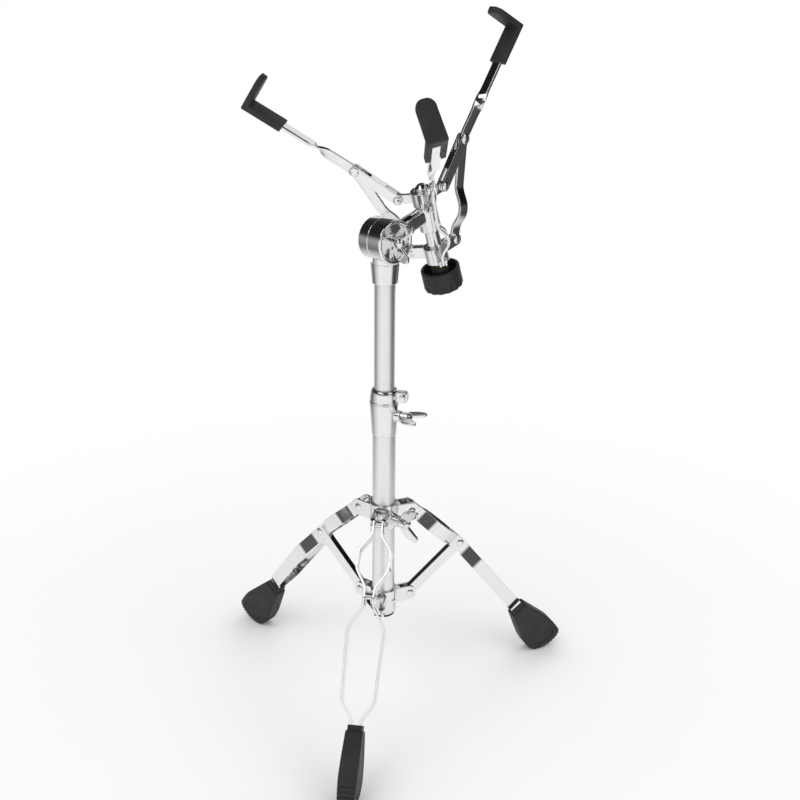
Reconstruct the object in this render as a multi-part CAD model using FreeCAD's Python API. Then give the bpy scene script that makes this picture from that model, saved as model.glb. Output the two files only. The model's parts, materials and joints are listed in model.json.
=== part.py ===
import FreeCAD, Part
import math
import os

# Snare drum stand: a folding tripod, a telescoping column, a tilter and a three-armed basket.
# Millimetres, +Z up, origin on the floor under the column, front leg along -Y.

os.makedirs("parts", exist_ok=True)
Vec = FreeCAD.Vector
ORIGIN = Vec(0, 0, 0)
X_WAY = Vec(1, 0, 0)
Y_WAY = Vec(0, 1, 0)
Z_WAY = Vec(0, 0, 1)

# Clearances between pieces
running_gap = 0.05
side_gap = 0.4
corner_share = 0.45
edge_round = 0.8

# Column tubes
upper_tube_radius = 11.1
upper_tube_wall = 1.5
tube_gap = 0.4
base_tube_wall = 1.2
base_tube_top = 352.0
tube_below_collar = 3.0
tube_overlap = 140.0
plug_flange = 2.5
plug_depth = 9.0

# Tripod linkage, in the plane of a leg: distance from the column and height
leg_count = 3
front_leg_angle = -90.0
pivot_radius = 30.7
brace_pivot_height = 116.7
leg_pivot_height = 224.3
knee_radius = 93.2
boot_mouth_radius = 175.9
boot_mouth_height = 62.6
strip_width = 15.2
strip_thickness = 2.1
pinch_half_gap = 3.9
upper_bow_half_gap = 16.4
lower_bow_half_gap = 18.6
lower_bow_end_half_gap = 16.1
upper_bow_shares = (0.38, 0.64, 0.88)
lower_bow_shares = (0.07, 0.24, 0.80, 0.92)
strip_top_rise = 2.2
strip_knee_drop = 2.4
strip_bend_radius = 14.0
strip_in_boot = 30.0
brace_width = 12.0
brace_wall = 1.6
pin_radius = 2.5
pin_head_radius = 4.6
pin_head_height = 1.5
spacer_radius = 5.2

# Rubber boots
boot_thickness = 20.0
boot_mouth_thickness = 18.0
boot_sole_thickness = 15.0
boot_widest_share = 0.6
boot_flat_set = 24.1
boot_flat_length = 22.0
boot_heel_curve_back = 10.0
boot_heel_curve_height = 7.0
boot_heel_back = 18.0
boot_heel_height = 19.0
boot_toe_curve_reach = 9.0
boot_toe_curve_height = 3.0
boot_toe_reach = 16.0
boot_toe_low_height = 12.0
boot_toe_high_height = 20.0
boot_shoulder_back = 15.0
boot_shoulder_height = 39.0
boot_mouth_half_width = 11.5
boot_corner_radius = 5.0
tread_groove_radius = 1.1
tread_groove_shares = (0.2, 0.5, 0.8)

# Leg collars
collar_wall = 2.5
lower_collar_below_pivot = 15.7
lower_collar_above_pivot = 12.3
upper_collar_below_pivot = 15.0
upper_collar_above_pivot = 14.0
ear_thickness = 2.0
ear_half_height = 8.2
upper_ear_half_height = 9.6
collar_rivet_radius = 1.8
collar_rivet_head_radius = 3.2
collar_rivet_head_height = 1.2
collar_wing_angle = -30.0
collar_wing_drop = 4.0
collar_boss_radius = 6.5
collar_boss_length = 9.0

# Height clamp
clamp_below_top = 31.0
clamp_seat = 6.0
band_height = 15.0
clamp_foot_wall = 0.9
clamp_wall = 3.95
clamp_top_wall = 0.4
bush_wall = 0.9
clamp_wing_angle = -16.0
clamp_wing_drop = 14.0
clamp_boss_radius = 6.2
clamp_boss_length = 8.0
band_lug_angle = -2.0
band_slit = 2.4
band_lug_thickness = 3.6
band_lug_reach = 10.0
band_lug_low = 1.0
band_lug_high = 2.0
band_screw_radius = 2.4
band_screw_head_radius = 4.0
band_screw_head_height = 1.6
key_head_side = 5.2
key_head_length = 6.0

# Wing screws and the wing nut
wing_shank_radius = 3.0
wing_hub_radius = 5.6
wing_hub_length = 8.5
wing_thickness = 2.6
wing_reach = 19.0
wing_length = 24.0
wing_corner_radius = 2.5
wing_outline_shares = ((0.62, 0.62), (1.0, 0.86), (0.94, 1.0), (0.72, 0.98), (0.34, 0.66))
tilter_wing_turn = 12.0

# Tilter
basket_heading = 51.8
basket_lean = 18.6
tilter_height = 535.0
tilter_radius = 23.0
tilter_half_length = 17.0
tilter_seam = 2.0
socket_drop = 45.0
socket_wall = 2.3
socket_top_wall = 4.1
socket_depth = 16.0
drum_edge_round = 2.0
dish_rim = 4.2
dish_flare = 1.2
dish_depth = 5.5
dish_boss_radius = 8.0
dish_rib_count = 3
dish_rib_width = 3.4
tilter_bolt_radius = 4.0
tilter_bolt_head_radius = 8.5
tilter_bolt_head_height = 3.6
friction_ring_inner = 8.0
friction_ring_inset = 5.5
friction_ring_height = 2.0
neck_inset = 0.3
neck_height = 19.8

# Basket
basket_offset = 71.4
basket_rise = 12.2
sleeve_radius = 11.8
sleeve_top = -7.4
sleeve_bottom = -37.0
rod_tube_radius = 8.0
rod_tube_past_pivot = 2.9
rod_radius = 4.5
rod_end_gap = 8.0
arm_count = 3
first_arm_angle = -2.9
ear_pivot_radius = 28.6
arm_pivot_height = -63.7
rivet_radius_out = 69.2
rivet_height = 36.6
arm_width = 11.4
arm_thickness = 3.2
arm_slope = 39.8
arm_jog = 9.5
arm_jog_shares = (0.13, 0.26, 0.36, 0.51)
arm_jog_sides = {"right": -1, "left": -1, "front": 1}
arm_twist_start = 30.0
arm_twist_length = 28.0
arm_twist_steps = 6
arm_corner_reach = 132.0
finger_end_wall = 6.8
link_width = 11.0
link_wall = 2.0
link_hole_play = 1.6
link_web_shares = (1 / 3, 2 / 3)
hub_ring_radius = 13.0
upper_hub_top = 9.0
upper_ear_thickness = 4.0
upper_ear_width = 10.0
lower_hub_above_pivot = 6.7
lower_hub_below_pivot = 12.3
lower_ear_width = 12.4
cap_nut_radius = 7.5
cap_nut_height = 6.0

# Rubber pads on the arms
pad_width = 19.8
pad_tip_width = 19.2
pad_thickness = 6.6
pad_finger_thickness = 6.4
pad_sleeve_length = 46.5
pad_finger_length = 40.0
pad_finger_lean = 6.0
pad_corner_radius = 2.6
pad_tip_radius = 9.6
pad_slot_width = 9.4
pad_slot_wall = 10.0

# Knob under the basket
knob_radius = 21.7
knob_drop = 8.0
knob_height = 24.0
knob_wall = 3.2
knob_floor = 6.0
knob_boss_wall = 2.5
knob_insert_radius = 7.0
knob_scallop_count = 14
knob_scallop_radius = 3.4
knob_scallop_depth = 1.3
knob_scallop_height = 9.0


def save(name, *solids):
    shape = solids[0] if len(solids) == 1 else Part.makeCompound(list(solids))
    shape.exportStep("parts/%s.step" % name)


def rod_between(start, end, radius):
    way = end - start
    return Part.makeCylinder(radius, way.Length, start, way)


def rounded_wire(corners, radii):
    """Closed flat wire through corner points, each rounded by its radius as far as its sides allow."""
    arcs = []
    for i, corner in enumerate(corners):
        before = corners[i - 1] - corner
        after = corners[(i + 1) % len(corners)] - corner
        half = before.getAngle(after) / 2
        reach = min(radii[i] / math.tan(half), before.Length * corner_share, after.Length * corner_share)
        before = before / before.Length
        after = after / after.Length
        if reach < running_gap:
            arcs.append((corner, None, corner))
            continue
        middle = before + after
        middle = middle / middle.Length
        bow = reach / math.cos(half) - reach * math.tan(half)
        arcs.append((corner + before * reach, corner + middle * bow, corner + after * reach))
    edges = []
    for i, (start, middle, end) in enumerate(arcs):
        if middle:
            edges.append(Part.Arc(start, middle, end).toShape())
        edges.append(Part.makeLine(end, arcs[(i + 1) % len(arcs)][0]))
    return Part.Wire(edges)


def turned(points, radii=None):
    """Solid turned about Z from (radius, height) points; a corner is rounded where it has a radius."""
    wire = rounded_wire([Vec(r, 0, z) for r, z in points], radii or [0] * len(points))
    return Part.Face(wire).revolve(ORIGIN, Z_WAY, 360)


def ring(outer, inner, low, high, edge=0):
    """Ring about Z, its outer edges rounded by a radius."""
    return turned([(inner, low), (outer, low), (outer, high), (inner, high)], [0, edge, edge, 0])


def plate(points, low, high):
    """Prism of an outline in the X-Z plane, from y = low to y = high."""
    wire = Part.makePolygon([Vec(x, low, z) for x, z in points + points[:1]])
    return Part.Face(wire).extrude(Vec(0, high - low, 0))


def bar(start, end, half_width, low, high):
    """Round-ended bar in the X-Z plane between two (x, z) points, from y = low to y = high."""
    a = Vec(start[0], low, start[1])
    b = Vec(end[0], low, end[1])
    depth = Vec(0, high - low, 0)
    way = b - a
    side = way.cross(Y_WAY).normalize() * half_width
    wire = Part.makePolygon([a + side, b + side, b - side, a - side, a + side])
    body = Part.Face(wire).extrude(depth)
    for end_point in (a, b):
        body = body.fuse(Part.makeCylinder(half_width, high - low, end_point, Y_WAY))
    return body.removeSplitter()


def cross_hole(point, radius, half_length):
    """Cylinder along Y through an (x, z) point."""
    return Part.makeCylinder(radius, 2 * half_length, Vec(point[0], -half_length, point[1]), Y_WAY)


def headed_pin(point, radius, half_grip, head_radius, head_height):
    """Pin along Y with a domed head on both ends."""
    body = cross_hole(point, radius, half_grip)
    dome_radius = (head_radius ** 2 + head_height ** 2) / (2 * head_height)
    rim_angle = math.degrees(math.asin((dome_radius - head_height) / dome_radius))
    for way in (1, -1):
        centre = Vec(point[0], way * (half_grip + head_height - dome_radius), point[1])
        body = body.fuse(Part.makeSphere(dome_radius, centre, Vec(0, way, 0), rim_angle, 90, 360))
    return body.removeSplitter()


def turn(shape, angle, axis=Z_WAY, centre=ORIGIN):
    copy = shape.copy()
    copy.rotate(centre, axis, angle)
    return copy


def radial(point_radius, angle, height):
    t = math.radians(angle)
    return Vec(point_radius * math.cos(t), point_radius * math.sin(t), height)


def rounded_plate(points, radius, low, high):
    """Prism of a round-cornered outline in the X-Z plane, from y = low to y = high."""
    wire = rounded_wire([Vec(x, low, z) for x, z in points], [radius] * len(points))
    return Part.Face(wire).extrude(Vec(0, high - low, 0))


def wing():
    """Wing pair in the X-Z plane about the X axis; the hub's root face is at x = 0."""
    body = Part.makeCylinder(wing_hub_radius, wing_hub_length, ORIGIN, X_WAY)
    body = body.fuse(Part.makeSphere(wing_hub_radius, Vec(wing_hub_length, 0, 0)))
    box_corner = Vec(0, -wing_reach, -wing_reach)
    body = body.common(Part.makeBox(wing_length, 2 * wing_reach, 2 * wing_reach, box_corner))
    half = wing_thickness / 2
    for way in (1, -1):
        root_z = way * wing_hub_radius / 2
        outline = [(half, root_z), (wing_hub_length, root_z)]
        for along_share, across_share in wing_outline_shares:
            outline.append((wing_length * along_share, way * wing_reach * across_share))
        outline.append((half, way * wing_hub_radius))
        body = body.fuse(rounded_plate(outline, wing_corner_radius, -half, half))
    return body.removeSplitter()


# Sizes that follow from the ones above
base_bore = upper_tube_radius + tube_gap
base_tube_radius = base_bore + base_tube_wall
lower_collar_bottom = brace_pivot_height - lower_collar_below_pivot
lower_collar_top = brace_pivot_height + lower_collar_above_pivot
base_tube_bottom = lower_collar_bottom - tube_below_collar
upper_tube_bottom = base_tube_top - tube_overlap
bush_radius = upper_tube_radius + running_gap + bush_wall
clamp_bottom = base_tube_top - clamp_below_top
clamp_shoulder = base_tube_top + clamp_seat
clamp_top = clamp_shoulder + band_height
clamp_wing_height = clamp_shoulder - clamp_wing_drop
clamp_bottom_radius = base_tube_radius + clamp_foot_wall
clamp_shoulder_radius = bush_radius + clamp_wall
clamp_top_radius = bush_radius + clamp_top_wall
socket_bottom_radius = upper_tube_radius + socket_wall
socket_top_radius = upper_tube_radius + socket_top_wall
dish_radius = tilter_radius - dish_rim
friction_ring_outer = tilter_radius - friction_ring_inset
lower_hub_top = arm_pivot_height + lower_hub_above_pivot
lower_hub_bottom = arm_pivot_height - lower_hub_below_pivot
rod_tube_bottom = arm_pivot_height - rod_tube_past_pivot
knob_top = lower_hub_bottom - knob_drop
knob_bottom = knob_top - knob_height
insert_top = lower_hub_bottom - side_gap
insert_bottom = knob_bottom + knob_floor
rod_bottom = insert_bottom + rod_end_gap
knob_boss_radius = knob_insert_radius + knob_boss_wall
upper_collar_bore = base_tube_radius + running_gap
collar_radius = base_tube_radius + collar_wall
knee_height = (leg_pivot_height + brace_pivot_height) / 2
strip_outer = pinch_half_gap + strip_thickness
upper_ear_inner = strip_outer + side_gap
upper_ear_outer = upper_ear_inner + ear_thickness
lower_ear_outer = pinch_half_gap + ear_thickness
brace_half = pinch_half_gap - side_gap
pin_hole = pin_radius + running_gap
wing_hole = wing_shank_radius + running_gap
leg_turn = 360 / leg_count
leg_angles = {name: front_leg_angle + i * leg_turn for i, name in enumerate(("front", "right", "left"))}
leg_pivot = (pivot_radius, leg_pivot_height)
knee = (knee_radius, knee_height)
brace_pivot = (pivot_radius, brace_pivot_height)
boot_mouth = (boot_mouth_radius, boot_mouth_height)
wide = 4 * upper_bow_half_gap

# Base tube and the plug in its lower end
tube = ring(base_tube_radius, base_bore, base_tube_bottom, base_tube_top)
plug = Part.makeCylinder(base_bore, plug_depth, Vec(0, 0, base_tube_bottom))
plug = plug.fuse(Part.makeCylinder(base_tube_radius, plug_flange, Vec(0, 0, base_tube_bottom - plug_flange)))

# Lower collar with an ear pair for each brace, riveted to the tube
lower_collar = ring(collar_radius, base_tube_radius, lower_collar_bottom, lower_collar_top, edge_round)
ear_root = (base_tube_radius + collar_wall / 2, brace_pivot_height)
rivets = []
rivet_height_low = (lower_collar_bottom + lower_collar_top) / 2
for angle in leg_angles.values():
    ears = bar(ear_root, brace_pivot, ear_half_height, -lower_ear_outer, lower_ear_outer)
    slot_start = (collar_radius + side_gap, brace_pivot_height)
    slot_end = (pivot_radius + 2 * ear_half_height, brace_pivot_height)
    slot_low = (slot_start[0], brace_pivot_height - 2 * ear_half_height)
    slot_high = (slot_end[0], brace_pivot_height + 2 * ear_half_height)
    slot = plate([slot_low, (slot_end[0], slot_low[1]), slot_high, (slot_start[0], slot_high[1])],
                 -pinch_half_gap, pinch_half_gap)
    ears = ears.cut(slot).cut(cross_hole(brace_pivot, pin_radius, wide))
    bore_foot = Vec(0, 0, brace_pivot_height - 2 * ear_half_height)
    bore = Part.makeCylinder(base_tube_radius, 4 * ear_half_height, bore_foot)
    lower_collar = lower_collar.fuse(turn(ears.cut(bore), angle))
    start = radial(base_bore, angle + leg_turn / 2, rivet_height_low)
    seat = radial(collar_radius, angle + leg_turn / 2, rivet_height_low)
    way = seat - start
    shank = Part.makeCylinder(collar_rivet_radius, way.Length, start, way)
    head = Part.makeCone(collar_rivet_head_radius, collar_rivet_radius, collar_rivet_head_height, seat, way)
    disc_start = radial(base_tube_radius, angle + leg_turn / 2, rivet_height_low)
    disc = rod_between(disc_start, seat, collar_rivet_head_radius)
    tube = tube.cut(shank)
    lower_collar = lower_collar.cut(disc).cut(shank)
    rivets.append(shank.fuse(disc).fuse(head).removeSplitter())
lower_collar = lower_collar.removeSplitter()
save("base_tube", tube)
save("tube_end_plug", plug.removeSplitter())
save("lower_collar", lower_collar)
save("lower_collar_rivets", *rivets)
pin = headed_pin(brace_pivot, pin_radius, lower_ear_outer, pin_head_radius, pin_head_height)
save("brace_pins", *[turn(pin, angle) for angle in leg_angles.values()])

# Upper collar, which slides on the tube, with an ear pair for each leg and a boss for its wing screw
upper_collar = ring(collar_radius, upper_collar_bore, leg_pivot_height - upper_collar_below_pivot,
                    leg_pivot_height + upper_collar_above_pivot, edge_round)
wing_height = leg_pivot_height - collar_wing_drop
boss_face = collar_radius + collar_boss_length
boss = rod_between(Vec(base_tube_radius, 0, wing_height), Vec(boss_face, 0, wing_height), collar_boss_radius)
upper_collar = upper_collar.fuse(turn(boss, collar_wing_angle))
ear_root = (base_tube_radius + collar_wall / 2, leg_pivot_height)
for angle in leg_angles.values():
    ears = bar(ear_root, leg_pivot, upper_ear_half_height, -upper_ear_outer, upper_ear_outer)
    slot_low = (collar_radius + side_gap, leg_pivot_height - 2 * upper_ear_half_height)
    slot_high = (pivot_radius + 2 * upper_ear_half_height, leg_pivot_height + 2 * upper_ear_half_height)
    slot = plate([slot_low, (slot_high[0], slot_low[1]), slot_high, (slot_low[0], slot_high[1])],
                 -upper_ear_inner, upper_ear_inner)
    ears = ears.cut(slot).cut(cross_hole(leg_pivot, pin_radius, wide))
    upper_collar = upper_collar.fuse(turn(ears, angle))
bore = Part.makeCylinder(upper_collar_bore, clamp_bottom - brace_pivot_height, Vec(0, 0, brace_pivot_height))
screw_hole = rod_between(Vec(0, 0, wing_height), Vec(2 * boss_face, 0, wing_height), wing_hole)
upper_collar = upper_collar.cut(bore).cut(turn(screw_hole, collar_wing_angle)).removeSplitter()
save("upper_collar", upper_collar)
pin = headed_pin(leg_pivot, pin_radius, upper_ear_outer, pin_head_radius, pin_head_height)
save("leg_pins", *[turn(pin, angle) for angle in leg_angles.values()])

# Wing screw of the upper collar
screw = wing()
screw.translate(Vec(boss_face + side_gap, 0, wing_height))
shank_start = Vec(base_tube_radius + side_gap, 0, wing_height)
shank_end = Vec(boss_face + 2 * side_gap, 0, wing_height)
screw = screw.fuse(rod_between(shank_start, shank_end, wing_shank_radius))
save("collar_wing_screw", turn(screw.removeSplitter(), collar_wing_angle))

# Leg strips: two bowed flats per leg, pinched together at the collar, the knee and the boot
leg_way = Vec(boot_mouth_radius - pivot_radius, 0, boot_mouth_height - leg_pivot_height)
leg_length = leg_way.Length
leg_way.normalize()
leg_normal = leg_way.cross(Y_WAY)
knee_along = (Vec(knee_radius, 0, knee_height) - Vec(pivot_radius, 0, leg_pivot_height)).dot(leg_way)
shin_length = leg_length - knee_along
bow_start = upper_ear_half_height + strip_bend_radius / 3
bow_line = [(-2 * strip_width, pinch_half_gap), (bow_start, pinch_half_gap)]
for share, gap in zip(upper_bow_shares, (upper_bow_half_gap, upper_bow_half_gap, pinch_half_gap)):
    bow_line.append((knee_along * share, gap))
shin_gaps = (pinch_half_gap, lower_bow_half_gap, lower_bow_end_half_gap, pinch_half_gap)
for share, gap in zip(lower_bow_shares, shin_gaps):
    bow_line.append((knee_along + shin_length * share, gap))
bow_line.append((leg_length + 2 * strip_in_boot, pinch_half_gap))


def offset_line(points, distance):
    """The line of (along, across) points moved square to itself by a distance."""
    moved = []
    for i, (s, g) in enumerate(points):
        ways = []
        for j in (i - 1, i):
            if 0 <= j < len(points) - 1:
                ds = points[j + 1][0] - points[j][0]
                dg = points[j + 1][1] - points[j][1]
                size = math.hypot(ds, dg)
                ways.append((-dg / size, ds / size))
        nx = sum(w[0] for w in ways) / len(ways)
        ny = sum(w[1] for w in ways) / len(ways)
        scale = distance / (nx * nx + ny * ny)
        moved.append((s + nx * scale, g + ny * scale))
    return moved


def bend_radii(points, left_extra, right_extra):
    """Radius at each point of the line: the bend radius, and an extra where the line turns left or right."""
    radii = [0] * len(points)
    for i in range(1, len(points) - 1):
        (s0, g0), (s1, g1), (s2, g2) = points[i - 1:i + 2]
        left = (s1 - s0) * (g2 - g1) - (g1 - g0) * (s2 - s1) > 0
        radii[i] = strip_bend_radius + (left_extra if left else right_extra)
    return radii


def bowed_sheet(side):
    """Sheet of a leg strip's thickness that follows the bow line, with round bends."""
    outer_line = offset_line(bow_line, strip_thickness)
    radii = bend_radii(bow_line, strip_thickness, 0) + bend_radii(outer_line, 0, strip_thickness)[::-1]
    start = Vec(pivot_radius, 0, leg_pivot_height) - leg_normal * leg_length / 2
    corners = [start + leg_way * s + Y_WAY * (side * g) for s, g in bow_line + outer_line[::-1]]
    return Part.Face(rounded_wire(corners, radii)).extrude(leg_normal * leg_length)


strip_top = (pivot_radius, leg_pivot_height + strip_top_rise)
strip_knee = (knee_radius, knee_height - strip_knee_drop)
shin_way = Vec(boot_mouth_radius - knee_radius, 0, boot_mouth_height - strip_knee[1]).normalize()
strip_end = (boot_mouth_radius + shin_way.x * strip_in_boot, boot_mouth_height + shin_way.z * strip_in_boot)
strip_side = bar(strip_top, strip_knee, strip_width / 2, -wide, wide)
strip_side = strip_side.fuse(bar(strip_knee, strip_end, strip_width / 2, -wide, wide)).removeSplitter()
strips = {}
for name, side in (("a", 1), ("b", -1)):
    strip = strip_side.common(bowed_sheet(side))
    strip = strip.cut(cross_hole(leg_pivot, pin_hole, wide)).cut(cross_hole(knee, pin_radius, wide))
    strips[name] = strip

# Boots, with the strips moulded into them
mouth_side = Vec(shin_way.z, 0, -shin_way.x) * boot_mouth_half_width
flat_inner = boot_mouth_radius + boot_flat_set
flat_outer = flat_inner + boot_flat_length
toe_radius = flat_outer + boot_toe_reach
boot_outline = [(boot_mouth_radius + mouth_side.x, boot_mouth_height + mouth_side.z),
                (flat_inner - boot_heel_back, boot_heel_height),
                (flat_inner - boot_heel_curve_back, boot_heel_curve_height),
                (flat_inner, 0), (flat_outer, 0),
                (flat_outer + boot_toe_curve_reach, boot_toe_curve_height),
                (toe_radius, boot_toe_low_height), (toe_radius, boot_toe_high_height),
                (toe_radius - boot_shoulder_back, boot_shoulder_height),
                (boot_mouth_radius - mouth_side.x, boot_mouth_height - mouth_side.z)]
boot = rounded_plate(boot_outline, boot_corner_radius, -boot_thickness / 2, boot_thickness / 2)
boot_depth = boot_mouth_height / -shin_way.z
boot_cross = Y_WAY.cross(shin_way)
boot_start = Vec(boot_mouth_radius, 0, boot_mouth_height) - boot_cross * boot_depth
boot_middle = boot_depth * boot_widest_share
taper = [(-boot_depth, boot_mouth_thickness), (0, boot_mouth_thickness), (boot_middle, boot_thickness),
         (boot_depth, boot_sole_thickness), (2 * boot_depth, boot_sole_thickness)]
taper_corners = [boot_start + shin_way * along + Y_WAY * (thick / 2) for along, thick in taper]
taper_corners += [boot_start + shin_way * along - Y_WAY * (thick / 2) for along, thick in taper[::-1]]
taper_face = Part.Face(Part.makePolygon(taper_corners + taper_corners[:1]))
boot = boot.common(taper_face.extrude(boot_cross * (2 * boot_depth)))
boot = boot.cut(strips["a"]).cut(strips["b"])
for start, end in ((boot_outline[1], boot_outline[2]), (boot_outline[2], boot_outline[3]),
                   (boot_outline[4], boot_outline[5]), (boot_outline[5], boot_outline[6])):
    for share in tread_groove_shares:
        spot = (start[0] + (end[0] - start[0]) * share, start[1] + (end[1] - start[1]) * share)
        boot = boot.cut(cross_hole(spot, tread_groove_radius, boot_thickness))

# Braces: narrow channels, open below
brace_way = Vec(knee_radius - pivot_radius, 0, knee_height - brace_pivot_height).normalize()
brace_side = brace_way.cross(Y_WAY)
brace = bar(brace_pivot, knee, brace_width / 2, -brace_half, brace_half)
hollow_shift = brace_side * (-brace_wall if brace_side.z > 0 else brace_wall)
hollow_start = (brace_pivot[0] + hollow_shift.x, brace_pivot[1] + hollow_shift.z)
hollow_end = (knee[0] + hollow_shift.x, knee[1] + hollow_shift.z)
channel_half = brace_half - brace_wall
brace = brace.cut(bar(hollow_start, hollow_end, brace_width / 2, -channel_half, channel_half))
for point in (brace_pivot, knee):
    brace = brace.cut(cross_hole(point, pin_hole, wide))

knee_pin = headed_pin(knee, pin_radius, strip_outer, pin_head_radius, pin_head_height)
spacer = cross_hole(leg_pivot, spacer_radius, pinch_half_gap).cut(cross_hole(leg_pivot, pin_hole, wide))
for name, angle in leg_angles.items():
    save(name + "_leg_strip_a", turn(strips["a"], angle))
    save(name + "_leg_strip_b", turn(strips["b"], angle))
    save(name + "_boot", turn(boot, angle))
    save(name + "_knee_pin", turn(knee_pin, angle))
    save(name + "_leg_spacer", turn(spacer, angle))
    save(name + "_brace", turn(brace, angle))

# Height clamp on top of the base tube: a tapered casting, a split band, a bush and two screws
casting = turned([(base_tube_radius, clamp_bottom), (clamp_bottom_radius, clamp_bottom),
                  (clamp_shoulder_radius, clamp_shoulder), (bush_radius, clamp_shoulder),
                  (bush_radius, base_tube_top), (base_tube_radius, base_tube_top)],
                 [0, edge_round, edge_round, 0, 0, 0])
boss_end = clamp_shoulder_radius + clamp_boss_length / 2
boss_start = Vec(base_tube_radius, 0, clamp_wing_height)
boss = rod_between(boss_start, Vec(boss_end, 0, clamp_wing_height), clamp_boss_radius)
boss = boss.cut(Part.makeCylinder(base_tube_radius, clamp_top - clamp_bottom, Vec(0, 0, clamp_bottom)))
screw_hole = rod_between(Vec(0, 0, clamp_wing_height), Vec(2 * boss_end, 0, clamp_wing_height), wing_hole)
casting = casting.fuse(turn(boss, clamp_wing_angle)).cut(turn(screw_hole, clamp_wing_angle)).removeSplitter()
save("height_clamp", casting)
save("clamp_bush", ring(bush_radius, upper_tube_radius + running_gap, base_tube_top, clamp_top))
screw = turn(wing(), 90, X_WAY)
screw.translate(Vec(boss_end + side_gap, 0, clamp_wing_height))
shank_start = Vec(base_tube_radius + side_gap, 0, clamp_wing_height)
shank_end = Vec(boss_end + 2 * side_gap, 0, clamp_wing_height)
screw = screw.fuse(rod_between(shank_start, shank_end, wing_shank_radius))
save("clamp_wing_screw", turn(screw.removeSplitter(), clamp_wing_angle))

band = turned([(bush_radius, clamp_shoulder), (clamp_shoulder_radius, clamp_shoulder),
               (clamp_shoulder_radius, (clamp_shoulder + clamp_top) / 2), (clamp_top_radius, clamp_top),
               (bush_radius, clamp_top)], [0, edge_round, bush_radius, edge_round, 0])
lug_half = band_slit / 2 + band_lug_thickness
lug_end = clamp_shoulder_radius + band_lug_reach
lug_low = clamp_shoulder + band_lug_low
lug_high = clamp_top - band_lug_high
lug_outline = [(bush_radius, lug_low), (lug_end, lug_low), (lug_end, lug_high), (bush_radius, lug_high)]
lug = rounded_plate(lug_outline, band_screw_head_radius, -lug_half, lug_half)
lug = lug.cut(Part.makeCylinder(bush_radius, clamp_top - clamp_bottom, Vec(0, 0, clamp_bottom)))
slit_end = 2 * lug_end
slit_outline = [(0, clamp_bottom), (slit_end, clamp_bottom), (slit_end, 2 * clamp_top), (0, 2 * clamp_top)]
slit = plate(slit_outline, -band_slit / 2, band_slit / 2)
screw_point = (lug_end - band_lug_reach / 2, (lug_low + lug_high) / 2)
band = band.fuse(lug).cut(slit).cut(cross_hole(screw_point, band_screw_radius, wide)).removeSplitter()
save("clamp_band", turn(band, band_lug_angle))
band_screw = headed_pin(screw_point, band_screw_radius, lug_half, band_screw_head_radius,
                        band_screw_head_height)
key_half = key_head_side / 2
key_foot = Vec(screw_point[0] - key_half, -lug_half - key_head_length, screw_point[1] - key_half)
key_head = Part.makeBox(key_head_side, key_head_length, key_head_side, key_foot)
band_screw = band_screw.fuse(key_head).removeSplitter()
save("band_screw", turn(band_screw, band_lug_angle))

# Upper tube and the fixed half of the tilter, in a frame with X towards the basket and Y to the back
socket_bottom = tilter_height - socket_drop
upper_tube_top = socket_bottom + socket_depth
upper_bore = upper_tube_radius - upper_tube_wall
save("upper_tube", ring(upper_tube_radius, upper_bore, upper_tube_bottom, upper_tube_top))


def across(y_low, y_high, radius, front_edge=0, back_edge=0):
    """Cylinder along the tilter axis, with a radius on each end's edge."""
    profile = [(0, y_low), (radius, y_low), (radius, y_high), (0, y_high)]
    return turn(turned(profile, [0, front_edge, back_edge, 0]), -90, X_WAY)


front = -tilter_half_length
socket_top = -tilter_radius - side_gap
socket = turned([(0, -socket_drop), (socket_bottom_radius, -socket_drop), (socket_top_radius, socket_top),
                 (0, socket_top)], [0, edge_round, edge_round, 0])
web = Part.makeCylinder(socket_top_radius, -socket_top, Vec(0, 0, socket_top))
web = web.common(Part.makeBox(4 * tilter_radius, tilter_seam - front, 4 * tilter_radius,
                              Vec(-2 * tilter_radius, front, -2 * tilter_radius)))
tilter_base = across(front, tilter_seam, tilter_radius, drum_edge_round, edge_round).fuse(socket).fuse(web)
dish_floor = front + dish_depth
dish = turned([(dish_boss_radius, front), (dish_radius + dish_flare, front),
               (dish_radius, front + dish_flare), (dish_radius, dish_floor), (dish_boss_radius, dish_floor)])
dish = turn(dish, -90, X_WAY)
for i in range(dish_rib_count):
    rib_half = dish_rib_width / 2
    rib_outline = [(0, -rib_half), (dish_radius, -rib_half), (dish_radius, rib_half), (0, rib_half)]
    rib = plate(rib_outline, front + dish_depth / 2, dish_floor)
    dish = dish.cut(turn(rib, 90 + i * 360 / dish_rib_count, Y_WAY))
tilter_base = tilter_base.cut(dish)
boss_cut = across(front, front + dish_depth / 2, dish_boss_radius)
tilter_base = tilter_base.cut(boss_cut)
tilter_base = tilter_base.cut(Part.makeCylinder(upper_tube_radius, socket_depth, Vec(0, 0, -socket_drop)))
tilter_base = tilter_base.cut(across(front, tilter_seam, tilter_bolt_radius)).removeSplitter()
friction_end = tilter_seam + friction_ring_height
friction_ring = across(tilter_seam, friction_end, friction_ring_outer)
friction_ring = friction_ring.cut(across(tilter_seam, friction_end, friction_ring_inner))
nut_root = front + dish_depth / 2 - side_gap
bolt_end = nut_root - wing_hub_length
bolt_seat = tilter_half_length + side_gap
bolt = across(bolt_end, bolt_seat, tilter_bolt_radius)
bolt_top = bolt_seat + tilter_bolt_head_height
bolt_head = across(bolt_seat, bolt_top, tilter_bolt_head_radius, 0, edge_round)
bolt = bolt.fuse(bolt_head).removeSplitter()
nut = turn(wing(), -90)
nut.translate(Vec(0, nut_root, 0))
nut = nut.cut(across(bolt_end - side_gap, nut_root, tilter_bolt_radius + running_gap))
nut = turn(nut, tilter_wing_turn, Y_WAY)

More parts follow.
